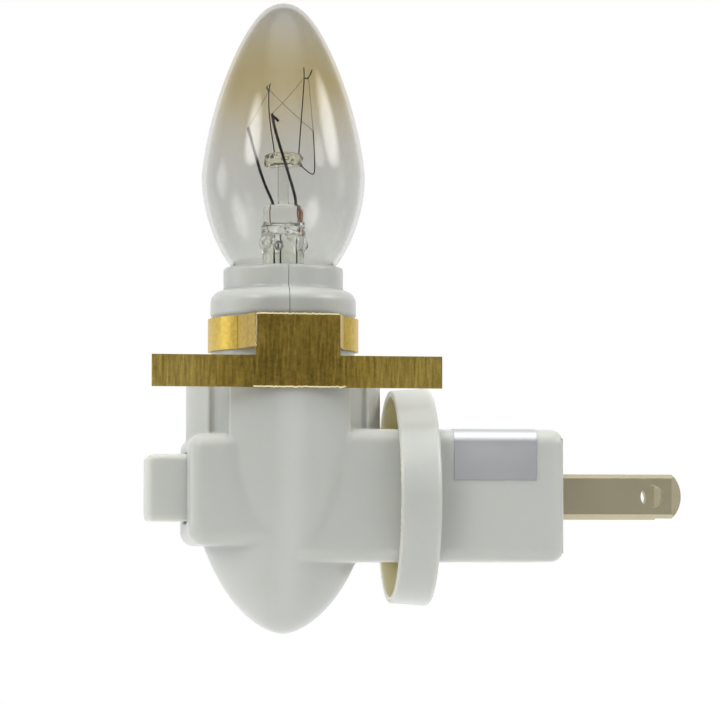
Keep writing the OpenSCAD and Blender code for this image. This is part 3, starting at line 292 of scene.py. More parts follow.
def housing_outside(x, y, z):
    """The housing as a full block: body, boss, arm to the plug, and neck."""
    body = meet(barrel(x, y, z, BODY_R, STRAIGHT_LOW - DOME_TIP), z - BODY_TOP, SHOULDER_R)
    body = channelled(x, y, z, body)
    boss = slab(x, y, z, (-BOSS_REACH, -PLUG_W / 2, BOSS_LOW), (EDGE_R, PLUG_W / 2, BOSS_TOP), EDGE_R)
    arm = meet(bar_section(y, z, PLUG_W, PLUG_H, EDGE_R), x - ARM_END_X, ARM_END_R)
    arm = meet(arm, -x, EDGE_R)
    shape = join(join(body, boss, BLEND_R), arm, BLEND_R)
    return join(shape, neck_and_rim(np.hypot(x, y), z), NECK_ROOT_R)


def housing_hollow(x, y, z):
    """The room inside the housing, with the socket's shelf left standing."""
    rho = np.hypot(x, y)
    half_w = PLUG_W / 2 - WALL
    half_h = PLUG_H / 2 - WALL
    dome_length = STRAIGHT_LOW - DOME_TIP - WALL
    cavity = meet(barrel(x, y, z, BODY_R - WALL, dome_length), z - BODY_TOP + WALL, INNER_EDGE_R)
    boss_low = (WALL - BOSS_REACH, -half_w, BOSS_LOW + WALL)
    boss = slab(x, y, z, boss_low, (WALL, half_w, BOSS_TOP - WALL), INNER_EDGE_R)
    arm = slab(x, y, z, (-WALL, -half_w, -half_h), (ARM_END_X - WALL, half_w, half_h), INNER_EDGE_R)
    hollow = join(join(cavity, boss, INNER_BLEND_R), arm, INNER_BLEND_R)
    shelf = np.maximum(np.abs(z - SHELF_TOP + SHELF_T / 2) - SHELF_T / 2, SHELF_HOLE_R - rho)
    hollow = cut(hollow, shelf, SHELF_EDGE_R)
    return np.minimum(hollow, np.maximum(rho - SOCKET_BORE_R, SHELF_TOP - z))


def button_window(x, y, z):
    """The opening in the boss that the button slides in."""
    half_w = BUTTON_W / 2 + BUTTON_FIT
    half_h = BUTTON_H / 2 + BUTTON_FIT
    low = (-BOSS_REACH - WALL, -half_w, BUTTON_MIDDLE - half_h)
    high = (WINDOW_DEPTH - BOSS_REACH, half_w, BUTTON_MIDDLE + half_h)
    return slab(x, y, z, low, high, WINDOW_R)


def housing(x, y, z):
    """Both halves of the housing as one, about the bulb axis."""
    shape = cut(housing_outside(x, y, z), housing_hollow(x, y, z), LIP_R)
    shape = cut(shape, button_window(x, y, z), LIP_R)
    rho = np.hypot(y, z)
    spigot = meet(meet(rho - SPIGOT_R, x - SPIGOT_END, SPIGOT_EDGE_R), ARM_END_X - WALL - x, SPIGOT_EDGE_R)
    shape = join(shape, spigot, SPIGOT_EDGE_R)
    return cut(shape, np.maximum(rho - SPIGOT_BORE_R, ARM_END_X - 2 * WALL - x), SPIGOT_EDGE_R)


def cup(x, rho):
    """The round cup, open towards the lamp."""
    reach = (x - MOUTH_X) / CUP_LEN
    outside = meet(rho - CUP_MOUTH_R - CUP_FLARE * reach, x - CUP_BACK_X, CUP_EDGE_R)
    outside = meet(outside, MOUTH_X - x, CUP_LIP_R)
    inside = meet(rho - CUP_MOUTH_R + CUP_WALL, x - CUP_FLOOR_X, CUP_CORNER_R)
    return cut(outside, inside, CUP_LIP_R)


def plug(x, y, z):
    """The plug's body with its cup, in the model's frame."""
    rho = np.hypot(y, z)
    body = meet(bar_section(y, z, PLUG_W, PLUG_H, EDGE_R), x, PLUG_END_R)
    body = np.maximum(body, CUP_FLOOR_X - x)
    shape = join(cup(x, rho), body, CUP_BLEND_R)
    half_w = PLUG_W / 2 - PLUG_WALL
    half_h = PLUG_H / 2 - PLUG_WALL
    hollow = slab(x, y, z, (CUP_BACK_X, -half_w, -half_h), (PLUG_W, half_w, half_h), INNER_EDGE_R)
    seat_low = (PLATE_LOW[0], PLATE_LOW[1] - SEAT_FIT, PLATE_LOW[2] - SEAT_FIT)
    seat = slab(x, y, z, seat_low, (PLUG_W, PLATE_HIGH[1] + SEAT_FIT, PLATE_HIGH[2] + SEAT_FIT), SEAT_R)
    shape = cut(cut(shape, hollow, PLUG_INNER_R), seat, BORE_EDGE_R)
    return cut(shape, rho - SPIGOT_R - SPIGOT_FIT, BORE_EDGE_R)


def button(x, y, z):
    """The hollow cap with a flange at its back, in the model's frame."""
    low, high = BUTTON_LOW, BUTTON_HIGH
    half_w, half_h = BUTTON_W / 2, BUTTON_H / 2
    cap_high = (high[0] + PAST, half_w, BUTTON_MIDDLE + half_h)
    cap = slab(x, y, z, (low[0], -half_w, BUTTON_MIDDLE - half_h), cap_high, BUTTON_R)
    flange = slab(x, y, z, (high[0] - FLANGE_T, low[1], low[2]), (high[0] + PAST, high[1], high[2]), FLANGE_R)
    shape = np.maximum(join(cap, flange, BUTTON_BLEND_R), x - high[0])
    half_w -= BUTTON_WALL
    half_h -= BUTTON_WALL
    hollow_high = (high[0] + 2 * PAST, half_w, BUTTON_MIDDLE + half_h)
    hollow_low = (low[0] + BUTTON_WALL, -half_w, BUTTON_MIDDLE - half_h)
    hollow = slab(x, y, z, hollow_low, hollow_high, BUTTON_HOLLOW_R)
    return cut(shape, hollow, BUTTON_BLEND_R)


def lumps(count, orbit, low, high, size):
    """Places and radii of small drops of glass strewn about the bulb axis."""
    angle = rng.uniform(0, 2 * math.pi, count)
    reach = rng.uniform(0.65, 1.0, count) * orbit
    height = rng.uniform(low, high, count)
    radius = rng.uniform(0.6, 1.0, count) * size
    return list(zip(reach * np.cos(angle), reach * np.sin(angle), height, radius))


PINCH_LUMPS = lumps(count=40, orbit=3.1, low=PRESS_LOW - 2.7, high=PRESS_LOW + 0.5, size=0.62)
BEAD_LUMPS = lumps(count=30, orbit=2.7, low=BEAD_LOW + 0.1, high=BEAD_TOP - 0.1, size=0.42)


def with_lumps(shape, x, y, z, places):
    """A shape with small drops of glass melted on to it."""
    for cx, cy, cz, r in places:
        drop = np.sqrt((x - cx) ** 2 + (y - cy) ** 2 + (z - cz) ** 2) - r
        shape = join(shape, drop, LUMP_BLEND_R)
    return shape


def stem(x, y, z):
    """The flared glass tube, the flattened and crumpled press and the rod, about the bulb axis."""
    rho = np.hypot(x, y)
    flare_r = TUBE_R + FLARE * np.exp(-np.maximum(z - STEM_FOOT, 0) / FLARE_REACH)
    swell = SWELL * np.exp(-((z - PRESS_LOW + SWELL_DROP) / SWELL_REACH) ** 2)
    tube = np.maximum(rho - flare_r - swell, np.maximum(STEM_FOOT - z, z - PRESS_LOW))
    inner = np.maximum(rho - flare_r + TUBE_T, z - PRESS_LOW + TUBE_ROOF)
    tube = cut(tube, inner, TUBE_EDGE_R)
    press_low = (-PRESS_HALF_W, -PRESS_HALF_T, PRESS_LOW - PRESS_ROOT)
    press = slab(x, y, z, press_low, (PRESS_HALF_W, PRESS_HALF_T, PRESS_TOP), PRESS_R)
    rod = np.maximum(rho - ROD_R, np.maximum(PRESS_TOP - ROD_ROOT - z, z - BEAD_LOW + TUBE_EDGE_R))
    shape = join(join(tube, press, PRESS_BLEND_R), rod, ROD_BLEND_R)
    return with_lumps(shape, x, y, z, PINCH_LUMPS)


def bead(x, y, z):
    """The button of glass on the rod's end, which holds the support wires."""
    half = (BEAD_TOP - BEAD_LOW) / 2
    past_flat = np.maximum(np.hypot(x, y) - BEAD_FLAT_R, 0)
    shape = np.hypot(past_flat, (z - BEAD_LOW - half) * BEAD_SQUEEZE) - half * BEAD_SQUEEZE
    return with_lumps(shape, x, y, z, BEAD_LUMPS)


# Making meshes

def placed(piece):
    """Puts a new object into the scene."""
    bpy.context.scene.collection.objects.link(piece)
    return piece


def mesh_object(name, points, faces, smooth=True):
    """A mesh from points given in millimetres in the model's frame."""
    mesh = bpy.data.meshes.new(name)
    mesh.from_pydata((np.asarray(points) * MM).tolist(), [], [tuple(int(i) for i in f) for f in faces])
    mesh.update()
    mesh.polygons.foreach_set("use_smooth", [smooth] * len(mesh.polygons))
    return placed(bpy.data.objects.new(name, mesh))


def about_axis(points):
    """Points about the bulb axis, moved into the model's frame."""
    return np.asarray(points) + np.array([AXIS_X, 0, 0])


def gradient(field, p, h):
    """Slope of the field at points p, from its values at a distance h to both sides."""
    steps = []
    for k in range(3):
        e = np.zeros(3)
        e[k] = h
        steps.append((field(*(p + e).T) - field(*(p - e).T)) / (2 * h))
    return np.stack(steps, axis=1)


def grid(low, high, step):
    """Lattice lines along x, y and z that cover a box."""
    return [np.arange(a, b + step, step) for a, b in zip(low, high)]


def isosurface(field, axes, flat=None):
    """Points and quads of the surface where the field is zero: one point in each cell that it crosses.

    With flat, the shape ends in a plane, the middle of the first (0) or last (-1) layer of cells along x.
    """
    rounds = 4
    leash_share = 0.7
    least_slope = 0.05
    step = axes[0][1] - axes[0][0]
    inside = field(*np.meshgrid(*axes, indexing="ij")) < 0
    if flat is not None:
        inside[flat] = False
    shape = np.array(inside.shape) - 1
    count = np.zeros(shape, np.int8)
    for i in (0, 1):
        for j in (0, 1):
            for k in (0, 1):
                count += inside[i:i + shape[0], j:j + shape[1], k:k + shape[2]]
    held = (count > 0) & (count < 8)
    index = np.full(shape, -1)
    index[held] = np.arange(held.sum())
    cells = np.nonzero(held)
    centre = np.stack([a[c] + step / 2 for a, c in zip(axes, cells)], axis=1)
    free = np.ones_like(centre)
    # In the flat layer points keep their x, and those well inside the solid don't move at all
    if flat is not None:
        layer = cells[0] == (0 if flat == 0 else shape[0] - 1)
        free[layer, 0] = 0
        free[layer & (count[held] == 4)] = 0
    p = centre.copy()
    for _ in range(rounds):
        slope = gradient(field, p, step / 8) * free
        length = np.maximum((slope ** 2).sum(axis=1, keepdims=True), least_slope)
        p -= field(*p.T)[:, None] * slope / length
        p = np.clip(p, centre - step * leash_share, centre + step * leash_share)
    quads = []
    for d in range(3):
        u, v = (d + 1) % 3, (d + 2) % 3
        near = [slice(None)] * 3
        far = [slice(None)] * 3
        near[d] = slice(0, -1)
        far[d] = slice(1, None)
        crossing = np.argwhere(inside[tuple(near)] != inside[tuple(far)])
        eu, ev = np.eye(3, dtype=int)[u], np.eye(3, dtype=int)[v]
        ring = [index[tuple((crossing - s).T)] for s in (ev, 0 * ev, eu, eu + ev)]
        quad = np.stack(ring, axis=1)
        outward = inside[tuple(crossing.T)]
        quads.append(np.where(outward[:, None], quad, quad[:, ::-1]))
    return p, np.concatenate(quads)


def revolved(outline, sides):
    """Points and quads of a closed outline of [radius, height] turned about the z axis."""
    outline = np.asarray(outline)
    n = len(outline)
    angles = np.arange(sides) * 2 * math.pi / sides
    points = [(r * math.cos(a), r * math.sin(a), z) for a in angles for r, z in outline]
    faces = []
    for i in range(sides):
        j = (i + 1) % sides
        for k in range(n):
            m = (k + 1) % n
            faces.append((i * n + k, j * n + k, j * n + m, i * n + m))
    return np.array(points), faces


WIRE_ROUNDNESS = 3
CORNER_CUTS = 3


def wire(name, path, diameter, smooth=True):
    """A round wire through points given in millimetres about the bulb axis."""
    curve = bpy.data.curves.new(name, "CURVE")
    curve.dimensions = "3D"
    curve.bevel_depth = diameter / 2 * MM
    curve.bevel_resolution = WIRE_ROUNDNESS
    curve.use_fill_caps = True
    spline = curve.splines.new("POLY")
    path = np.asarray(path, float)
    if smooth:
        for _ in range(CORNER_CUTS):
            inner = np.empty((2 * len(path) - 2, 3))
            inner[0::2] = 0.75 * path[:-1] + 0.25 * path[1:]
            inner[1::2] = 0.25 * path[:-1] + 0.75 * path[1:]
            path = np.vstack([path[:1], inner, path[-1:]])
    spline.points.add(len(path) - 1)
    for point, place in zip(spline.points, about_axis(path)):
        point.co = (*(place * MM), 1)
    return placed(bpy.data.objects.new(name, curve))


# Materials

class Look:
    """A node material with a few shorthands."""

    def __init__(self, name, colour, roughness, metallic=0.0):
        self.material = bpy.data.materials.new(name)
        self.material.use_nodes = True
        self.nodes = self.material.node_tree.nodes
        self.links = self.material.node_tree.links
        self.shader = self.nodes["Principled BSDF"]
        self.set("Base Color", (*colour, 1))
        self.set("Roughness", roughness)
        self.set("Metallic", metallic)

    def set(self, socket, value):
        self.shader.inputs[socket].default_value = value

    def feed(self, value, socket):
        self.links.new(value, self.shader.inputs[socket])

    def place(self, scale=(1, 1, 1)):
        """Object coordinates in metres, stretched by scale."""
        coordinates = self.nodes.new("ShaderNodeTexCoord")
        mapping = self.nodes.new("ShaderNodeMapping")
        mapping.inputs["Scale"].default_value = scale
        self.links.new(coordinates.outputs["Object"], mapping.inputs["Vector"])
        return mapping.outputs["Vector"]

    def coordinate(self, axis):
        """One object coordinate, X, Y or Z, in metres."""
        split = self.nodes.new("ShaderNodeSeparateXYZ")
        self.links.new(self.place(), split.inputs[0])
        return split.outputs[axis]

    def noise(self, scale, detail, rough=0.5):
        """A noise value whose grain is one over scale, in metres, along each axis."""
        node = self.nodes.new("ShaderNodeTexNoise")
        node.inputs["Scale"].default_value = 1.0
        node.inputs["Detail"].default_value = detail
        node.inputs["Roughness"].default_value = rough
        self.links.new(self.place(scale), node.inputs["Vector"])
        return node.outputs["Fac"]

    def calculate(self, operation, *terms):
        """One step of arithmetic on node outputs or plain numbers."""
        node = self.nodes.new("ShaderNodeMath")
        node.operation = operation
        for term, socket in zip(terms, node.inputs):
            if isinstance(term, (int, float)):
                socket.default_value = term
            else:
                self.links.new(term, socket)
        return node.outputs[0]

    def ramp(self, value, stops):
        node = self.nodes.new("ShaderNodeValToRGB")
        ramp = node.color_ramp
        while len(ramp.elements) < len(stops):
            ramp.elements.new(0.5)
        for element, (at, colour) in zip(ramp.elements, stops):
            element.position = at
            element.color = (*colour, 1)
        self.links.new(value, node.inputs["Fac"])
        return node.outputs["Color"]

    def span(self, value, low, high, to_low, to_high):
        """A value stretched from one range to another."""
        node = self.nodes.new("ShaderNodeMapRange")
        for socket, number in zip(("From Min", "From Max", "To Min", "To Max"), (low, high, to_low, to_high)):
            node.inputs[socket].default_value = number
        self.links.new(value, node.inputs["Value"])
        return node.outputs["Result"]

    def distance_from_axis(self):
        """Distance along x from the lamp's axis, in metres, either way."""
        offset = self.calculate("SUBTRACT", self.coordinate("X"), float(AXIS_X * MM))
        return self.calculate("ABSOLUTE", offset)

    def mottle(self, value, colour, spread):
        """A colour that is lighter and darker by a share as the noise value goes up and down."""
        dark = tuple(v * (1 - spread) for v in colour)
        light = tuple(min(1.0, v * (1 + spread)) for v in colour)
        self.feed(self.ramp(value, [(0.3, dark), (0.7, light)]), "Base Color")

    def bump(self, value, strength):
        node = self.nodes.new("ShaderNodeBump")
        node.inputs["Strength"].default_value = strength
        node.inputs["Distance"].default_value = BUMP_H * MM
        self.links.new(value, node.inputs["Height"])
        self.feed(node.outputs["Normal"], "Normal")


BUMP_H = 0.02
PLASTIC = (0.420, 0.430, 0.406)
# Painted light: the button is the housing's plastic made lighter, for the light that falls on the button's
# side
LIT_BUTTON_PLASTIC = tuple(1.14 * v for v in PLASTIC)
# Painted light: a lighter, warmer colour for the inside of the plug's cup, in place of the light that reaches
# in
CUP_INSIDE_PAINTED_LIGHT = (0.90, 0.85, 0.70)
BRASS = (0.50, 0.37, 0.10)
PLASTIC_IOR = 1.5
SCATTER = 0.8
SCATTER_RGB = (1.0, 0.9, 0.65)
SCATTER_DEPTH = 1.6
FLOW_GRAIN = (45, 45, 60)
FLOW_GLOSS = 0.02
STAIN_GRAIN = (160, 160, 160)


def moulded(name, colour, roughness, depth=0.0, spread=0.008):
    """Moulded plastic with faint flow marks, which light enters to a depth in millimetres."""
    look = Look(name, colour, roughness)
    look.set("IOR", PLASTIC_IOR)
    if depth:
        look.set("Subsurface Weight", SCATTER)
        look.set("Subsurface Radius", SCATTER_RGB)
        look.set("Subsurface Scale", depth * MM)
    flow = look.noise(FLOW_GRAIN, detail=1)
    look.mottle(flow, colour, spread)
    look.feed(look.span(flow, 0.25, 0.75, roughness - FLOW_GLOSS, roughness + FLOW_GLOSS), "Roughness")
    return look


def plastic(name, colour, roughness, depth=0.0, spread=0.008):
    """The finished material of moulded plastic."""
    return moulded(name, colour, roughness, depth, spread).material


def shell_look():
    """The housing's plastic, which scatters no light across the seam between its halves."""
    look = moulded("housing_plastic", PLASTIC, roughness=0.3, depth=SCATTER_DEPTH)
    look.feed(look.span(look.distance_from_axis(), 0, SEAM_FADE * MM, 0, SCATTER), "Subsurface Weight")
    return look.material


def metal(name, colour, roughness, spread=0.12, grain=500, bump=0.1, wear=0.09):
    """Bare metal with stains in its colour and a fine grain in its gloss."""
    look = Look(name, colour, roughness, metallic=1.0)
    look.mottle(look.noise(STAIN_GRAIN, detail=4), colour, spread)
    lines = look.noise((grain, grain, grain), detail=4)
    look.feed(look.span(lines, 0.3, 0.7, roughness - wear, roughness + wear), "Roughness")
    look.bump(lines, bump)
    return look.material


def glass(name, colour, ior):
    """Smooth glass, tinted where light goes through it."""
    look = Look(name, colour, roughness=0.0)
    look.set("Transmission Weight", 1.0)
    look.set("IOR", ior)
    return look


def brushed_brass():
    """Rolled brass sheet, brushed upright and spotted, with painted shade that darkens its middle for the
    dark reflection on the front of the tab.
    """
    look = Look("brushed_brass", BRASS, roughness=0.36, metallic=1.0)
    grain = look.noise((3600, 3600, 300), detail=5, rough=0.6)
    specks = look.noise((1500, 1500, 1500), detail=3, rough=0.7)
    patches = look.noise((120, 120, 90), detail=3)
    # Painted shade: darker near the lamp's axis, where the flat front tab shows a dark reflection; the stains
    # and grain are added on top
    stains_and_painted_shade = look.span(look.distance_from_axis(), 3 * MM, 13 * MM, 0.05, 0.29)
    for value, weight in ((patches, 0.27), (specks, 0.34), (grain, 0.17)):
        stains_and_painted_shade = look.calculate("MULTIPLY_ADD", value, weight, stains_and_painted_shade)
    look.feed(look.ramp(stains_and_painted_shade, [
        (0.30, (0.22, 0.145, 0.022)),
        (0.44, (0.42, 0.29, 0.058)),
        (0.60, (0.63, 0.45, 0.092)),
        (0.78, (0.80, 0.61, 0.17)),
    ]), "Base Color")
    look.feed(look.span(grain, 0.3, 0.7, 0.30, 0.46), "Roughness")
    look.bump(grain, 0.25)
    return look.material


def bulb_glass_look():
    """Glass tinted grey, with a brown band under the tip, its tone set by height."""
    look = glass("bulb_glass", (0.66, 0.66, 0.65), ior=1.36)
    height = look.span(look.coordinate("Z"), GLASS_WAIST * MM, GLASS_TIP * MM, 0, 1)
    streaks = look.span(look.noise((160, 160, 40), detail=3), 0.3, 0.7, -0.03, 0.03)
    look.feed(look.ramp(look.calculate("ADD", height, streaks), [
        (0.00, (0.72, 0.73, 0.70)),
        (0.30, (0.70, 0.70, 0.68)),
        (0.46, (0.69, 0.68, 0.64)),
        (0.58, (0.67, 0.63, 0.53)),
        (0.70, (0.605, 0.545, 0.375)),
        (0.80, (0.61, 0.56, 0.42)),
        (0.90, (0.61, 0.58, 0.50)),
        (1.00, (0.58, 0.57, 0.53)),
    ]), "Base Color")
    return look.material


looks = {
    "shell_plastic": plastic("shell_plastic", PLASTIC, 0.3, depth=SCATTER_DEPTH),
    # The button's plastic is lighter by painted light
    "button_plastic": plastic("button_plastic", LIT_BUTTON_PLASTIC, 0.3, depth=SCATTER_DEPTH),
    "blade_metal": metal(
        "blade_metal", (0.45, 0.41, 0.285), 0.52, spread=0.02, grain=900, bump=0.01, wear=0.02),
    "contact_brass": metal("contact_brass", (0.62, 0.46, 0.18), 0.35),
    "spring_bronze": metal("spring_bronze", (0.60, 0.36, 0.18), 0.35),
    "rivet_metal": metal("rivet_metal", (0.62, 0.62, 0.62), 0.3),
    "label_foil": metal(
        "label_foil", (0.74, 0.765, 0.78), 0.44, spread=0.015, grain=120, bump=0.01, wear=0.03),
    "moulding_brown": plastic("moulding_brown", (0.09, 0.04, 0.02), 0.4, spread=0.15),
    "socket_moulding": plastic("socket_moulding", (0.05, 0.048, 0.045), 0.4, spread=0.15),
    "spring_steel": metal("spring_steel", (0.52, 0.52, 0.54), 0.28),
    "nylon": plastic("nylon", (0.70, 0.68, 0.58), 0.4),
    "wire_black": plastic("wire_black", (0.015, 0.015, 0.015), 0.4, spread=0.2),
    "wire_white": plastic("wire_white", (0.62, 0.62, 0.60), 0.4),
    "bracket_brass": brushed_brass(),
    "bulb_glass": bulb_glass_look(),
    "stem_glass": glass("stem_glass", (0.95, 0.96, 0.93), ior=1.5).material,
    "lead_metal": metal("lead_metal", (0.10, 0.09, 0.085), 0.45),
    "filament_metal": metal("filament_metal", (0.14, 0.12, 0.10), 0.5),
    "cap_metal": metal("cap_metal", (0.62, 0.60, 0.54), 0.3),
    "cap_glass": plastic("cap_glass", (0.012, 0.012, 0.014), 0.15, spread=0.2),
    "solder": metal("solder", (0.5, 0.5, 0.5), 0.35),
}
copper = metal("copper_lead", (0.62, 0.34, 0.20), 0.35)
housing_plastic = shell_look()
# Painted highlight: a brass far lighter than the bracket's, for the light caught on its sheared edges
edge_highlight_brass = metal("edge_highlight_brass", (0.95, 0.82, 0.5), 0.3)
bead_glass = glass("bead_glass", (0.95, 0.92, 0.74), ior=1.5).material

# The CAD nodes get their materials, and a small bevel on their sharp edges
NODE_BEVEL = 0.06
SHEET_BEVEL = 0.14
BEVEL_ANGLE = math.radians(40)

for part in frame["record"]["subparts"]:
    node = frame["nodes"][part["node"]]
    node.data.materials.clear()
    node.data.materials.append(looks[part["material_slot"]])
    soften = node.modifiers.new("edges", "BEVEL")
    soften.width = (SHEET_BEVEL if part["node"] == "brass_bracket" else NODE_BEVEL) * MM
    soften.segments = 2
    soften.limit_method = "ANGLE"
    soften.angle_limit = BEVEL_ANGLE


def dress(piece, body, slot, *nodes, material=None):
    """Puts a piece on its body, in its material, in place of CAD nodes."""
    piece.data.materials.clear()
    piece.data.materials.append(material or looks[slot])
    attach(piece, body)
    if nodes:
        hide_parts(*nodes)
    return piece


# Camera: the photograph is taken from the front, a little to the left and from slightly below
IMAGE_W = 721
VIEW_DISTANCE = 500
AXIS_YAW = 5.2
VIEW_YAW = 6.45
VIEW_PITCH = 3.6
EYE_Z = -11.0
FOCAL_PX = 3553
SENSOR_MM = 36
NEAREST = 10

yaw = math.radians(AXIS_YAW)
eye = Vector((AXIS_X - VIEW_DISTANCE * math.sin(yaw), -VIEW_DISTANCE * math.cos(yaw), EYE_Z)) * MM
camera = bpy.data.objects.new("camera", bpy.data.cameras.new("camera"))
camera.data.sensor_width = SENSOR_MM
camera.data.lens = FOCAL_PX / IMAGE_W * SENSOR_MM
camera.data.clip_start = NEAREST * MM
camera.location = eye
camera.rotation_euler = (math.radians(90 + VIEW_PITCH), 0, -math.radians(VIEW_YAW))
placed(camera)
bpy.context.scene.camera = camera

# Lattice steps, the room left round a shape, and the angle from which an edge is shaded as sharp
SHELL_STEP = 0.28
FINE_STEP = 0.16
MARGIN = 0.6
SHARP = math.radians(50)


def half(name, reach, side, node):
    """One half of the housing, which ends flat at the seam."""
    low = (0, -BODY_R - MARGIN, DOME_TIP - MARGIN)
    side_y, side_z = grid(low, (0, BODY_R + MARGIN, RIM_TOP + MARGIN), SHELL_STEP)[1:]
    steps = np.arange(-0.5, (reach + MARGIN) / SHELL_STEP)
    lattice = SEAM_GAP / 2 + steps * SHELL_STEP
    axes = [lattice if side > 0 else -lattice[::-1], side_y, side_z]
    points, quads = isosurface(housing, axes, 0 if side > 0 else -1)
    on_seam = np.abs(np.abs(points[:, 0]) - SEAM_GAP / 2) < SEAM_GAP / 100
    points[on_seam & (points[:, 2] > BODY_TOP), 0] = side * NECK_SEAM / 2
    piece = mesh_object(name, about_axis(points), quads)
    piece.data.set_sharp_from_angle(angle=SHARP)
    dress(piece, "lamp", "shell_plastic", node, material=housing_plastic)


half("shell_left", BOSS_REACH, -1, "housing_left")
half("shell_right", SPIGOT_END, 1, "housing_right")


def plug_body():
    """The plug's body, with painted light inside its cup: a lighter, warmer plastic that stands in for the
    light reaching in there.
    """
    reach = CUP_BACK_R + MARGIN
    axes = grid((MOUTH_X - MARGIN, -reach, -reach), (MARGIN, reach, reach), SHELL_STEP)
    points, quads = isosurface(plug, axes)
    piece = dress(mesh_object("plug_body", points, quads), "plug", "shell_plastic", "plug_shell")
    # Faces inside the cup get the painted-light colour
    piece.data.materials.append(plastic("cup_inside_painted_light", CUP_INSIDE_PAINTED_LIGHT, 0.4, depth=SCATTER_DEPTH))
    floor_slack = 0.1
    for face in piece.data.polygons:
        x, y, z = face.center / MM
        if x < CUP_FLOOR_X + floor_slack and math.hypot(y, z) < CUP_MOUTH_R - CUP_WALL / 2:
            face.material_index = 1


plug_body()
points, quads = isosurface(button, grid(BUTTON_LOW - MARGIN, BUTTON_HIGH + MARGIN, FINE_STEP))
dress(mesh_object("push_button", points, quads), "button", "button_plastic", "switch_button")


# Bulb

def glass_wall(inset):
    """The glass from its neck to its tip, as [radius, height]."""
    rise = GLASS_WIDE - GLASS_WAIST
    rows = [[GLASS_NECK_R - inset, GLASS_LOW[2]], [GLASS_NECK_R - inset, GLASS_NECK_TOP]]
    for i in range(GLASS_ROWS, -1, -1):
        drop = rise * math.sin(math.pi / 2 * i / GLASS_ROWS)
        r = GLASS_R * math.sqrt(1 - (drop / (WAIST_REACH * rise)) ** WAIST_SWELL) - inset
        rows.append([r, GLASS_WIDE - drop])
    for i in range(1, 2 * GLASS_ROWS + 1):
        s = math.sin(math.pi / 4 * i / GLASS_ROWS)
        nose = TIP_ROUND - TIP_SHARPEN * s ** 6
        r = (GLASS_R - inset) * max(0.0, 1 - s ** TIP_SWELL) ** nose
        rows.append([r, GLASS_WIDE + (GLASS_TIP - inset - GLASS_WIDE) * s])
    return rows


points, faces = revolved(glass_wall(0) + glass_wall(GLASS_T)[::-1], GLASS_SIDES)
dress(mesh_object("blown_glass", about_axis(points), faces), "bulb", "bulb_glass", "bulb_glass")

axes = grid(
    (-GLASS_NECK_R, -GLASS_NECK_R, STEM_FOOT - MARGIN),
    (GLASS_NECK_R, GLASS_NECK_R, BEAD_LOW + MARGIN), FINE_STEP)
points, quads = isosurface(stem, axes)
dress(mesh_object("glass_mount", about_axis(points), quads), "bulb", "stem_glass", "bulb_stem")

axes = grid(
    (-BEAD_REACH, -BEAD_REACH, BEAD_LOW - MARGIN),
    (BEAD_REACH, BEAD_REACH, BEAD_TOP + MARGIN), FINE_STEP)
points, quads = isosurface(bead, axes)
dress(mesh_object("glass_bead", about_axis(points), quads), "bulb", "stem_glass", material=bead_glass)

# Wires in the bulb: two leads, the bent end of one, and three supports on the bead
LEAD_D = 0.42
SUPPORT_D = 0.17
LEFT_TIP = (-5.0, 0.2, 52.1)
CENTRE_TIP = (-1.8, -1.9, 53.8)
ANCHOR_A = (2.84, -1.2, 59.1)
FORK = (3.45, -1.2, 59.0)
ANCHOR_B = (-1.9, 1.6, 57.7)
ANCHOR_C = (4.38, 1.4, 51.9)

leads = {
    "lead_left": [(-1.45, 0, 41.1), (-1.5, 0, 41.6), (-2.95, 0.1, 44.8), (-4.45, 0.2, 50.0), LEFT_TIP],
    "lead_centre": [
        (1.72, -0.5, 41.1), (1.62, -1.1, 42.3), (-0.04, -3.2, 46.8), (-1.35, -2.6, 51.2), CENTRE_TIP],
    "lead_hook": [(-1.75, -1.95, 53.5), (-1.5, -2.0, 53.4), (-0.85, -1.9, 52.8)],
}
for name, path in leads.items():
    nodes = ("bulb_lead_wires",) if name == "lead_left" else ()
    dress(wire(name, path, LEAD_D), "bulb", "lead_metal", *nodes)

supports = {
    "support_a": [
        (2.1, -0.6, 48.0), (2.15, -0.65, 48.8), (2.75, -1.1, 57.5), (2.84, -1.2, 59.2), (2.76, -1.2, 60.6)],
    "support_a_fork": [ANCHOR_A, FORK, (3.93, -1.2, 60.2)],
    "support_b": [
        (-1.15, 0.8, 48.0), (-1.2, 0.8, 48.8), (-1.93, 1.4, 53.8), (-1.98, 1.6, 57.5), (-1.75, 1.6, 58.6)],
    "support_b_hook": [(-1.95, 1.6, 57.6), (-2.3, 1.6, 57.9), (-2.1, 1.6, 58.3)],
    "support_c": [
        (2.3, 0.6, 47.2), (2.9, 0.9, 46.6), (4.2, 1.4, 45.7), (4.65, 1.5, 46.0), (4.55, 1.4, 49.0), ANCHOR_C],
}
for name, path in supports.items():
    nodes = ("bulb_support_wires",) if name == "support_a" else ()
    dress(wire(name, path, SUPPORT_D), "bulb", "lead_metal", *nodes)


# Return spring, which in the real switch shortens as the button is pressed; this coil keeps its length
SPRING_LOW, SPRING_HIGH = mm_box("switch_spring")
SPRING_WIRE_D = 0.5
SPRING_TURNS = 4
SPRING_STEPS = 24


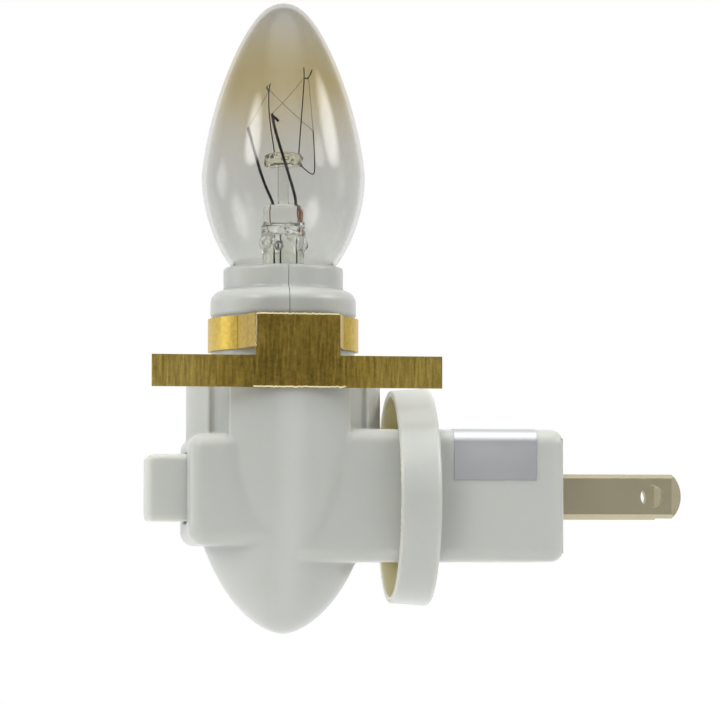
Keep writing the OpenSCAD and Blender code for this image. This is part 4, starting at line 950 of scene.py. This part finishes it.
def return_spring():
    """A coil between the ends of the CAD's spring."""
    low_x = SPRING_LOW[0] + SPRING_WIRE_D / 2
    length = SPRING_HIGH[0] - SPRING_WIRE_D / 2 - low_x
    radius = (SPRING_HIGH[1] - SPRING_LOW[1] - SPRING_WIRE_D) / 2
    _, middle_y, middle_z = (SPRING_LOW + SPRING_HIGH) / 2
    path = []
    for i in range(SPRING_TURNS * SPRING_STEPS + 1):
        angle = 2 * math.pi * i / SPRING_STEPS
        x = low_x + length * i / (SPRING_TURNS * SPRING_STEPS)
        path.append((x - AXIS_X, middle_y + radius * math.cos(angle), middle_z + radius * math.sin(angle)))
    curve = wire("spring_path", path, SPRING_WIRE_D, smooth=False)
    piece = placed(bpy.data.objects.new("return_spring", bpy.data.meshes.new_from_object(curve)))
    bpy.data.objects.remove(curve)
    dress(piece, "lamp", "spring_steel", "switch_spring")
    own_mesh(piece)


return_spring()


# Sheared edges of the brass sheet: fine burrs round the tab and along the bar's underside, in a light brass
# that is a painted highlight where these edges catch the light
BRACKET_MOUNT = next(m for m in frame["record"]["mounts"] if m["name"] == "bracket_face")
BRACKET_AXIS = np.array(BRACKET_MOUNT["axis"])
BRACKET_FACE = np.array(BRACKET_MOUNT["pos_m"]) / MM
BRACKET_ALONG = np.array([-BRACKET_AXIS[1], BRACKET_AXIS[0], 0])
BRACKET_LOW, BRACKET_HIGH = mm_box("brass_bracket")
TAB_HALF_W = 5.87
TAB_FOOT_Z = BODY_TOP + 2.4
BURR_D = 0.24
THIN_BURR_D = 0.07
BURR_STEP = 0.16
BURR_JAG = 0.035
BURR_SUNK = 0.08
TAB_BURR_INSET = 0.1
EDGE_BURR_INSET = 0.12
EDGE_BURR_END = 0.2
EDGE_BURRS = (("burr_edge_left", -1, 0.2), ("burr_edge_right", 1, 0.12))
BAR_BURR_SPAN = (-6.2, 6.6)
THIN_BURR_SPAN = (8.5, 19.8)


def burr(name, start, end, diameter):
    """A ragged edge in painted-highlight brass on the bracket's front between two places, each [along the
    bar, height].
    """
    start, end = np.array(start), np.array(end)
    count = int(np.linalg.norm(end - start) / BURR_STEP)
    path = []
    for i in range(count + 1):
        along, height = start + (end - start) * i / count + rng.normal(0, BURR_JAG, 2)
        place = BRACKET_FACE + BRACKET_ALONG * along - BRACKET_AXIS * BURR_SUNK
        path.append((place[0] - AXIS_X, place[1], height))
    piece = wire(name, path, diameter, smooth=False)
    # The burr wears the painted-highlight brass
    dress(piece, "bracket", "bracket_brass", material=edge_highlight_brass)


def burrs():
    """All the burrs, in the order in which they draw their random numbers."""
    tab_end = TAB_HALF_W - TAB_BURR_INSET
    tab_top = BRACKET_HIGH[2] - BURR_D / 2
    bar_foot = BRACKET_LOW[2] + BURR_D / 2
    thin_foot = BRACKET_LOW[2] + THIN_BURR_D
    burr("burr_tab", (-tab_end, tab_top), (tab_end, tab_top), BURR_D)
    burr("burr_bar", (BAR_BURR_SPAN[0], bar_foot), (BAR_BURR_SPAN[1], bar_foot), BURR_D)
    burr("burr_bar_right", (THIN_BURR_SPAN[0], thin_foot), (THIN_BURR_SPAN[1], thin_foot), THIN_BURR_D)
    for name, side, diameter in EDGE_BURRS:
        edge = side * (TAB_HALF_W - EDGE_BURR_INSET)
        burr(name, (edge, TAB_FOOT_Z), (edge, BRACKET_HIGH[2] - EDGE_BURR_END), diameter)


burrs()

# Filament: a fine coil strung from lead to lead over the supports
COIL_R = 0.042
COIL_PITCH = 0.09
COIL_STEPS = 8
COIL_WIRE_D = 0.034
FILAMENT_SAG = 0.15
OBLIQUE = (0.1, 1, 0.15)


def coiled(path):
    """A fine coil wound along straight stretches between points, each of which sags a little."""
    rows = []
    turn = 0.0
    for a, b in zip(path, path[1:]):
        a, b = np.array(a, float), np.array(b, float)
        length = np.linalg.norm(b - a)
        t = (b - a) / length
        u = np.cross(t, OBLIQUE)
        u /= np.linalg.norm(u)
        v = np.cross(t, u)
        count = int(length / COIL_PITCH * COIL_STEPS)
        for i in range(count):
            angle = turn + 2 * math.pi * i / COIL_STEPS
            sag = -FILAMENT_SAG * math.sin(math.pi * i / count)
            offset = COIL_R * (math.cos(angle) * u + math.sin(angle) * v)
            rows.append(a + (b - a) * i / count + offset + np.array([0, 0, sag]))
        turn += 2 * math.pi * count / COIL_STEPS
    return rows


filament_path = [CENTRE_TIP, ANCHOR_A, FORK, ANCHOR_C, ANCHOR_B, LEFT_TIP]
filament = wire("filament", coiled(filament_path), COIL_WIRE_D, smooth=False)
filament.data.bevel_resolution = 1
dress(filament, "bulb", "filament_metal", "bulb_filament")

# Copper seals where the leads pass the press, and the tails below it
TAIL_D = 0.24
TAIL_TOP = 36.5
TAIL_MIDDLE = 33.5
TAIL_END = 30.5
TAIL_CLOSE = 0.9

seals = {
    "seal_left": (0.16, [(-1.5, 0, 41.3), (-1.95, 0, 40.9), (-1.9, 0, 38.6), (-1.3, 0, TAIL_TOP)]),
    "seal_right": (0.34, [
        (1.72, -0.4, 41.3), (2.3, -0.3, 40.6), (2.35, 0, 39.4), (2.0, 0, 38.4), (1.97, 0, TAIL_TOP)]),
    "seal_strip": (0.26, [(2.0, -0.35, 40.8), (1.95, -0.3, 39.8), (2.2, -0.2, 38.6)]),
}
for name, (diameter, path) in seals.items():
    dress(wire(name, path, diameter), "bulb", "lead_metal", material=copper)
for name, x in (("tail_left", -1.3), ("tail_middle", -0.4), ("tail_right", 1.97)):
    path = [(x, 0, TAIL_TOP), (x, 0, TAIL_MIDDLE), (x * TAIL_CLOSE, 0, TAIL_END)]
    dress(wire(name, path, TAIL_D), "bulb", "lead_metal")

# Floor, light and surroundings
FLOOR_HALF = 1500
FLOOR_Z = -75
FLOOR_WHITE = (0.86, 0.86, 0.86)
FADE_START = 150
FADE_END = 450


def floor():
    """A pale floor under the object that fades into the white round it."""
    corners = [(-1, -1), (1, -1), (1, 1), (-1, 1)]
    points = [(x * FLOOR_HALF, y * FLOOR_HALF, FLOOR_Z) for x, y in corners]
    piece = mesh_object("floor", points, [(0, 1, 2, 3)], smooth=False)
    look = Look("floor", FLOOR_WHITE, roughness=0.9)
    clear = look.nodes.new("ShaderNodeBsdfTransparent")
    mix = look.nodes.new("ShaderNodeMixShader")
    length = look.nodes.new("ShaderNodeVectorMath")
    length.operation = "LENGTH"
    look.links.new(look.place((1, 1, 0)), length.inputs[0])
    fade = look.span(length.outputs["Value"], FADE_START * MM, FADE_END * MM, 0, 1)
    look.links.new(fade, mix.inputs[0])
    look.links.new(look.shader.outputs[0], mix.inputs[1])
    look.links.new(clear.outputs[0], mix.inputs[2])
    look.links.new(mix.outputs[0], look.nodes["Material Output"].inputs["Surface"])
    piece.data.materials.append(look.material)


# Soft lamps of the studio: azimuth from the camera's side, elevation and half width in degrees, and strength
LAMPS = [
    (-54, 26, 9, 11.0),
    (74, 26, 10, 9.5),
    (50, 20, 6, 4.0),
    (-66, -30, 8, 4.0),
    (50, -30, 8, 4.0),
    (0, 66, 24, 2.0),
    (-104, 4, 9, 2.5),
]

# Shares of a lamp's half width where it is still at full strength, and where it ends
LAMP_CORE = 0.4
LAMP_SKIRT = 1.6

# Glow from behind the object, and the backdrop that gloss and glass show there, with half widths in degrees
BEHIND = 180
GLOW = 0.62
GLOW_INNER = 90
GLOW_OUTER = 165
BACKDROP_INNER = 35
BACKDROP_OUTER = 70
AMBIENT = 0.11


def surroundings():
    """A white backdrop behind the object, and round it a studio that is darker at the camera's side."""
    world = bpy.data.worlds.new("studio")
    bpy.context.scene.world = world
    world.use_nodes = True
    nodes, links = world.node_tree.nodes, world.node_tree.links
    nodes.clear()
    direction = nodes.new("ShaderNodeTexCoord").outputs["Generated"]

    def patch(azimuth, elevation, inner, outer, strength):
        """The strength inside the inner half width about a direction, falling to zero at the outer one."""
        a, e = math.radians(azimuth), math.radians(elevation)
        dot = nodes.new("ShaderNodeVectorMath")
        dot.operation = "DOT_PRODUCT"
        dot.inputs[1].default_value = (math.sin(a) * math.cos(e), -math.cos(a) * math.cos(e), math.sin(e))
        links.new(direction, dot.inputs[0])
        fall = nodes.new("ShaderNodeMapRange")
        fall.interpolation_type = "SMOOTHSTEP"
        fall.inputs["From Min"].default_value = math.cos(math.radians(outer))
        fall.inputs["From Max"].default_value = math.cos(math.radians(inner))
        fall.inputs["To Max"].default_value = strength
        links.new(dot.outputs["Value"], fall.inputs["Value"])
        return fall.outputs["Result"]

    def combine(operation, a, b):
        node = nodes.new("ShaderNodeMath")
        node.operation = operation
        for value, socket in zip((a, b), node.inputs):
            links.new(value, socket)
        return node.outputs[0]

    def white():
        node = nodes.new("ShaderNodeBackground")
        node.inputs["Color"].default_value = (1, 1, 1, 1)
        return node

    level = patch(BEHIND, 0, GLOW_INNER, GLOW_OUTER, GLOW)
    for azimuth, elevation, width, strength in LAMPS:
        lamp = patch(azimuth, elevation, width * LAMP_CORE, width * LAMP_SKIRT, strength)
        level = combine("ADD", level, lamp)
    studio = nodes.new("ShaderNodeBackground")
    links.new(level, studio.inputs["Strength"])
    ambient = white()
    ambient.inputs["Strength"].default_value = AMBIENT
    lit = nodes.new("ShaderNodeAddShader")
    links.new(studio.outputs[0], lit.inputs[0])
    links.new(ambient.outputs[0], lit.inputs[1])

    path = nodes.new("ShaderNodeLightPath")
    through = combine("MAXIMUM", path.outputs["Is Glossy Ray"], path.outputs["Is Transmission Ray"])
    backdrop = combine("MULTIPLY", through, patch(BEHIND, 0, BACKDROP_INNER, BACKDROP_OUTER, 1))
    mix = nodes.new("ShaderNodeMixShader")
    links.new(combine("MAXIMUM", path.outputs["Is Camera Ray"], backdrop), mix.inputs[0])
    links.new(lit.outputs[0], mix.inputs[1])
    links.new(white().outputs[0], mix.inputs[2])
    out = nodes.new("ShaderNodeOutputWorld")
    links.new(mix.outputs[0], out.inputs["Surface"])


# Soft boxes: place and size in millimetres, and power in watts
SOFT_BOXES = {
    "over": ((-60, -90, 560), (320, 220), 2.3),
    "side_left": ((-380, -420, 160), (240, 240), 0.62),
    "side_right": ((380, -420, 160), (240, 240), 0.28),
}
AIM = Vector((AXIS_X, 0, 20))


def soft_box(name, place, size, power):
    """A lamp turned to the object, which no reflection and no glass shows."""
    data = bpy.data.lights.new(name, "AREA")
    data.shape = "RECTANGLE"
    data.size = size[0] * MM
    data.size_y = size[1] * MM
    data.energy = power
    lamp = bpy.data.objects.new(name, data)
    lamp.location = Vector(place) * MM
    lamp.rotation_euler = (AIM - Vector(place)).to_track_quat("-Z", "Y").to_euler()
    lamp.visible_glossy = False
    lamp.visible_transmission = False
    placed(lamp)


floor()
surroundings()
for name, (place, size, power) in SOFT_BOXES.items():
    soft_box(name, place, size, power)

bpy.context.scene.view_settings.view_transform = "Standard"
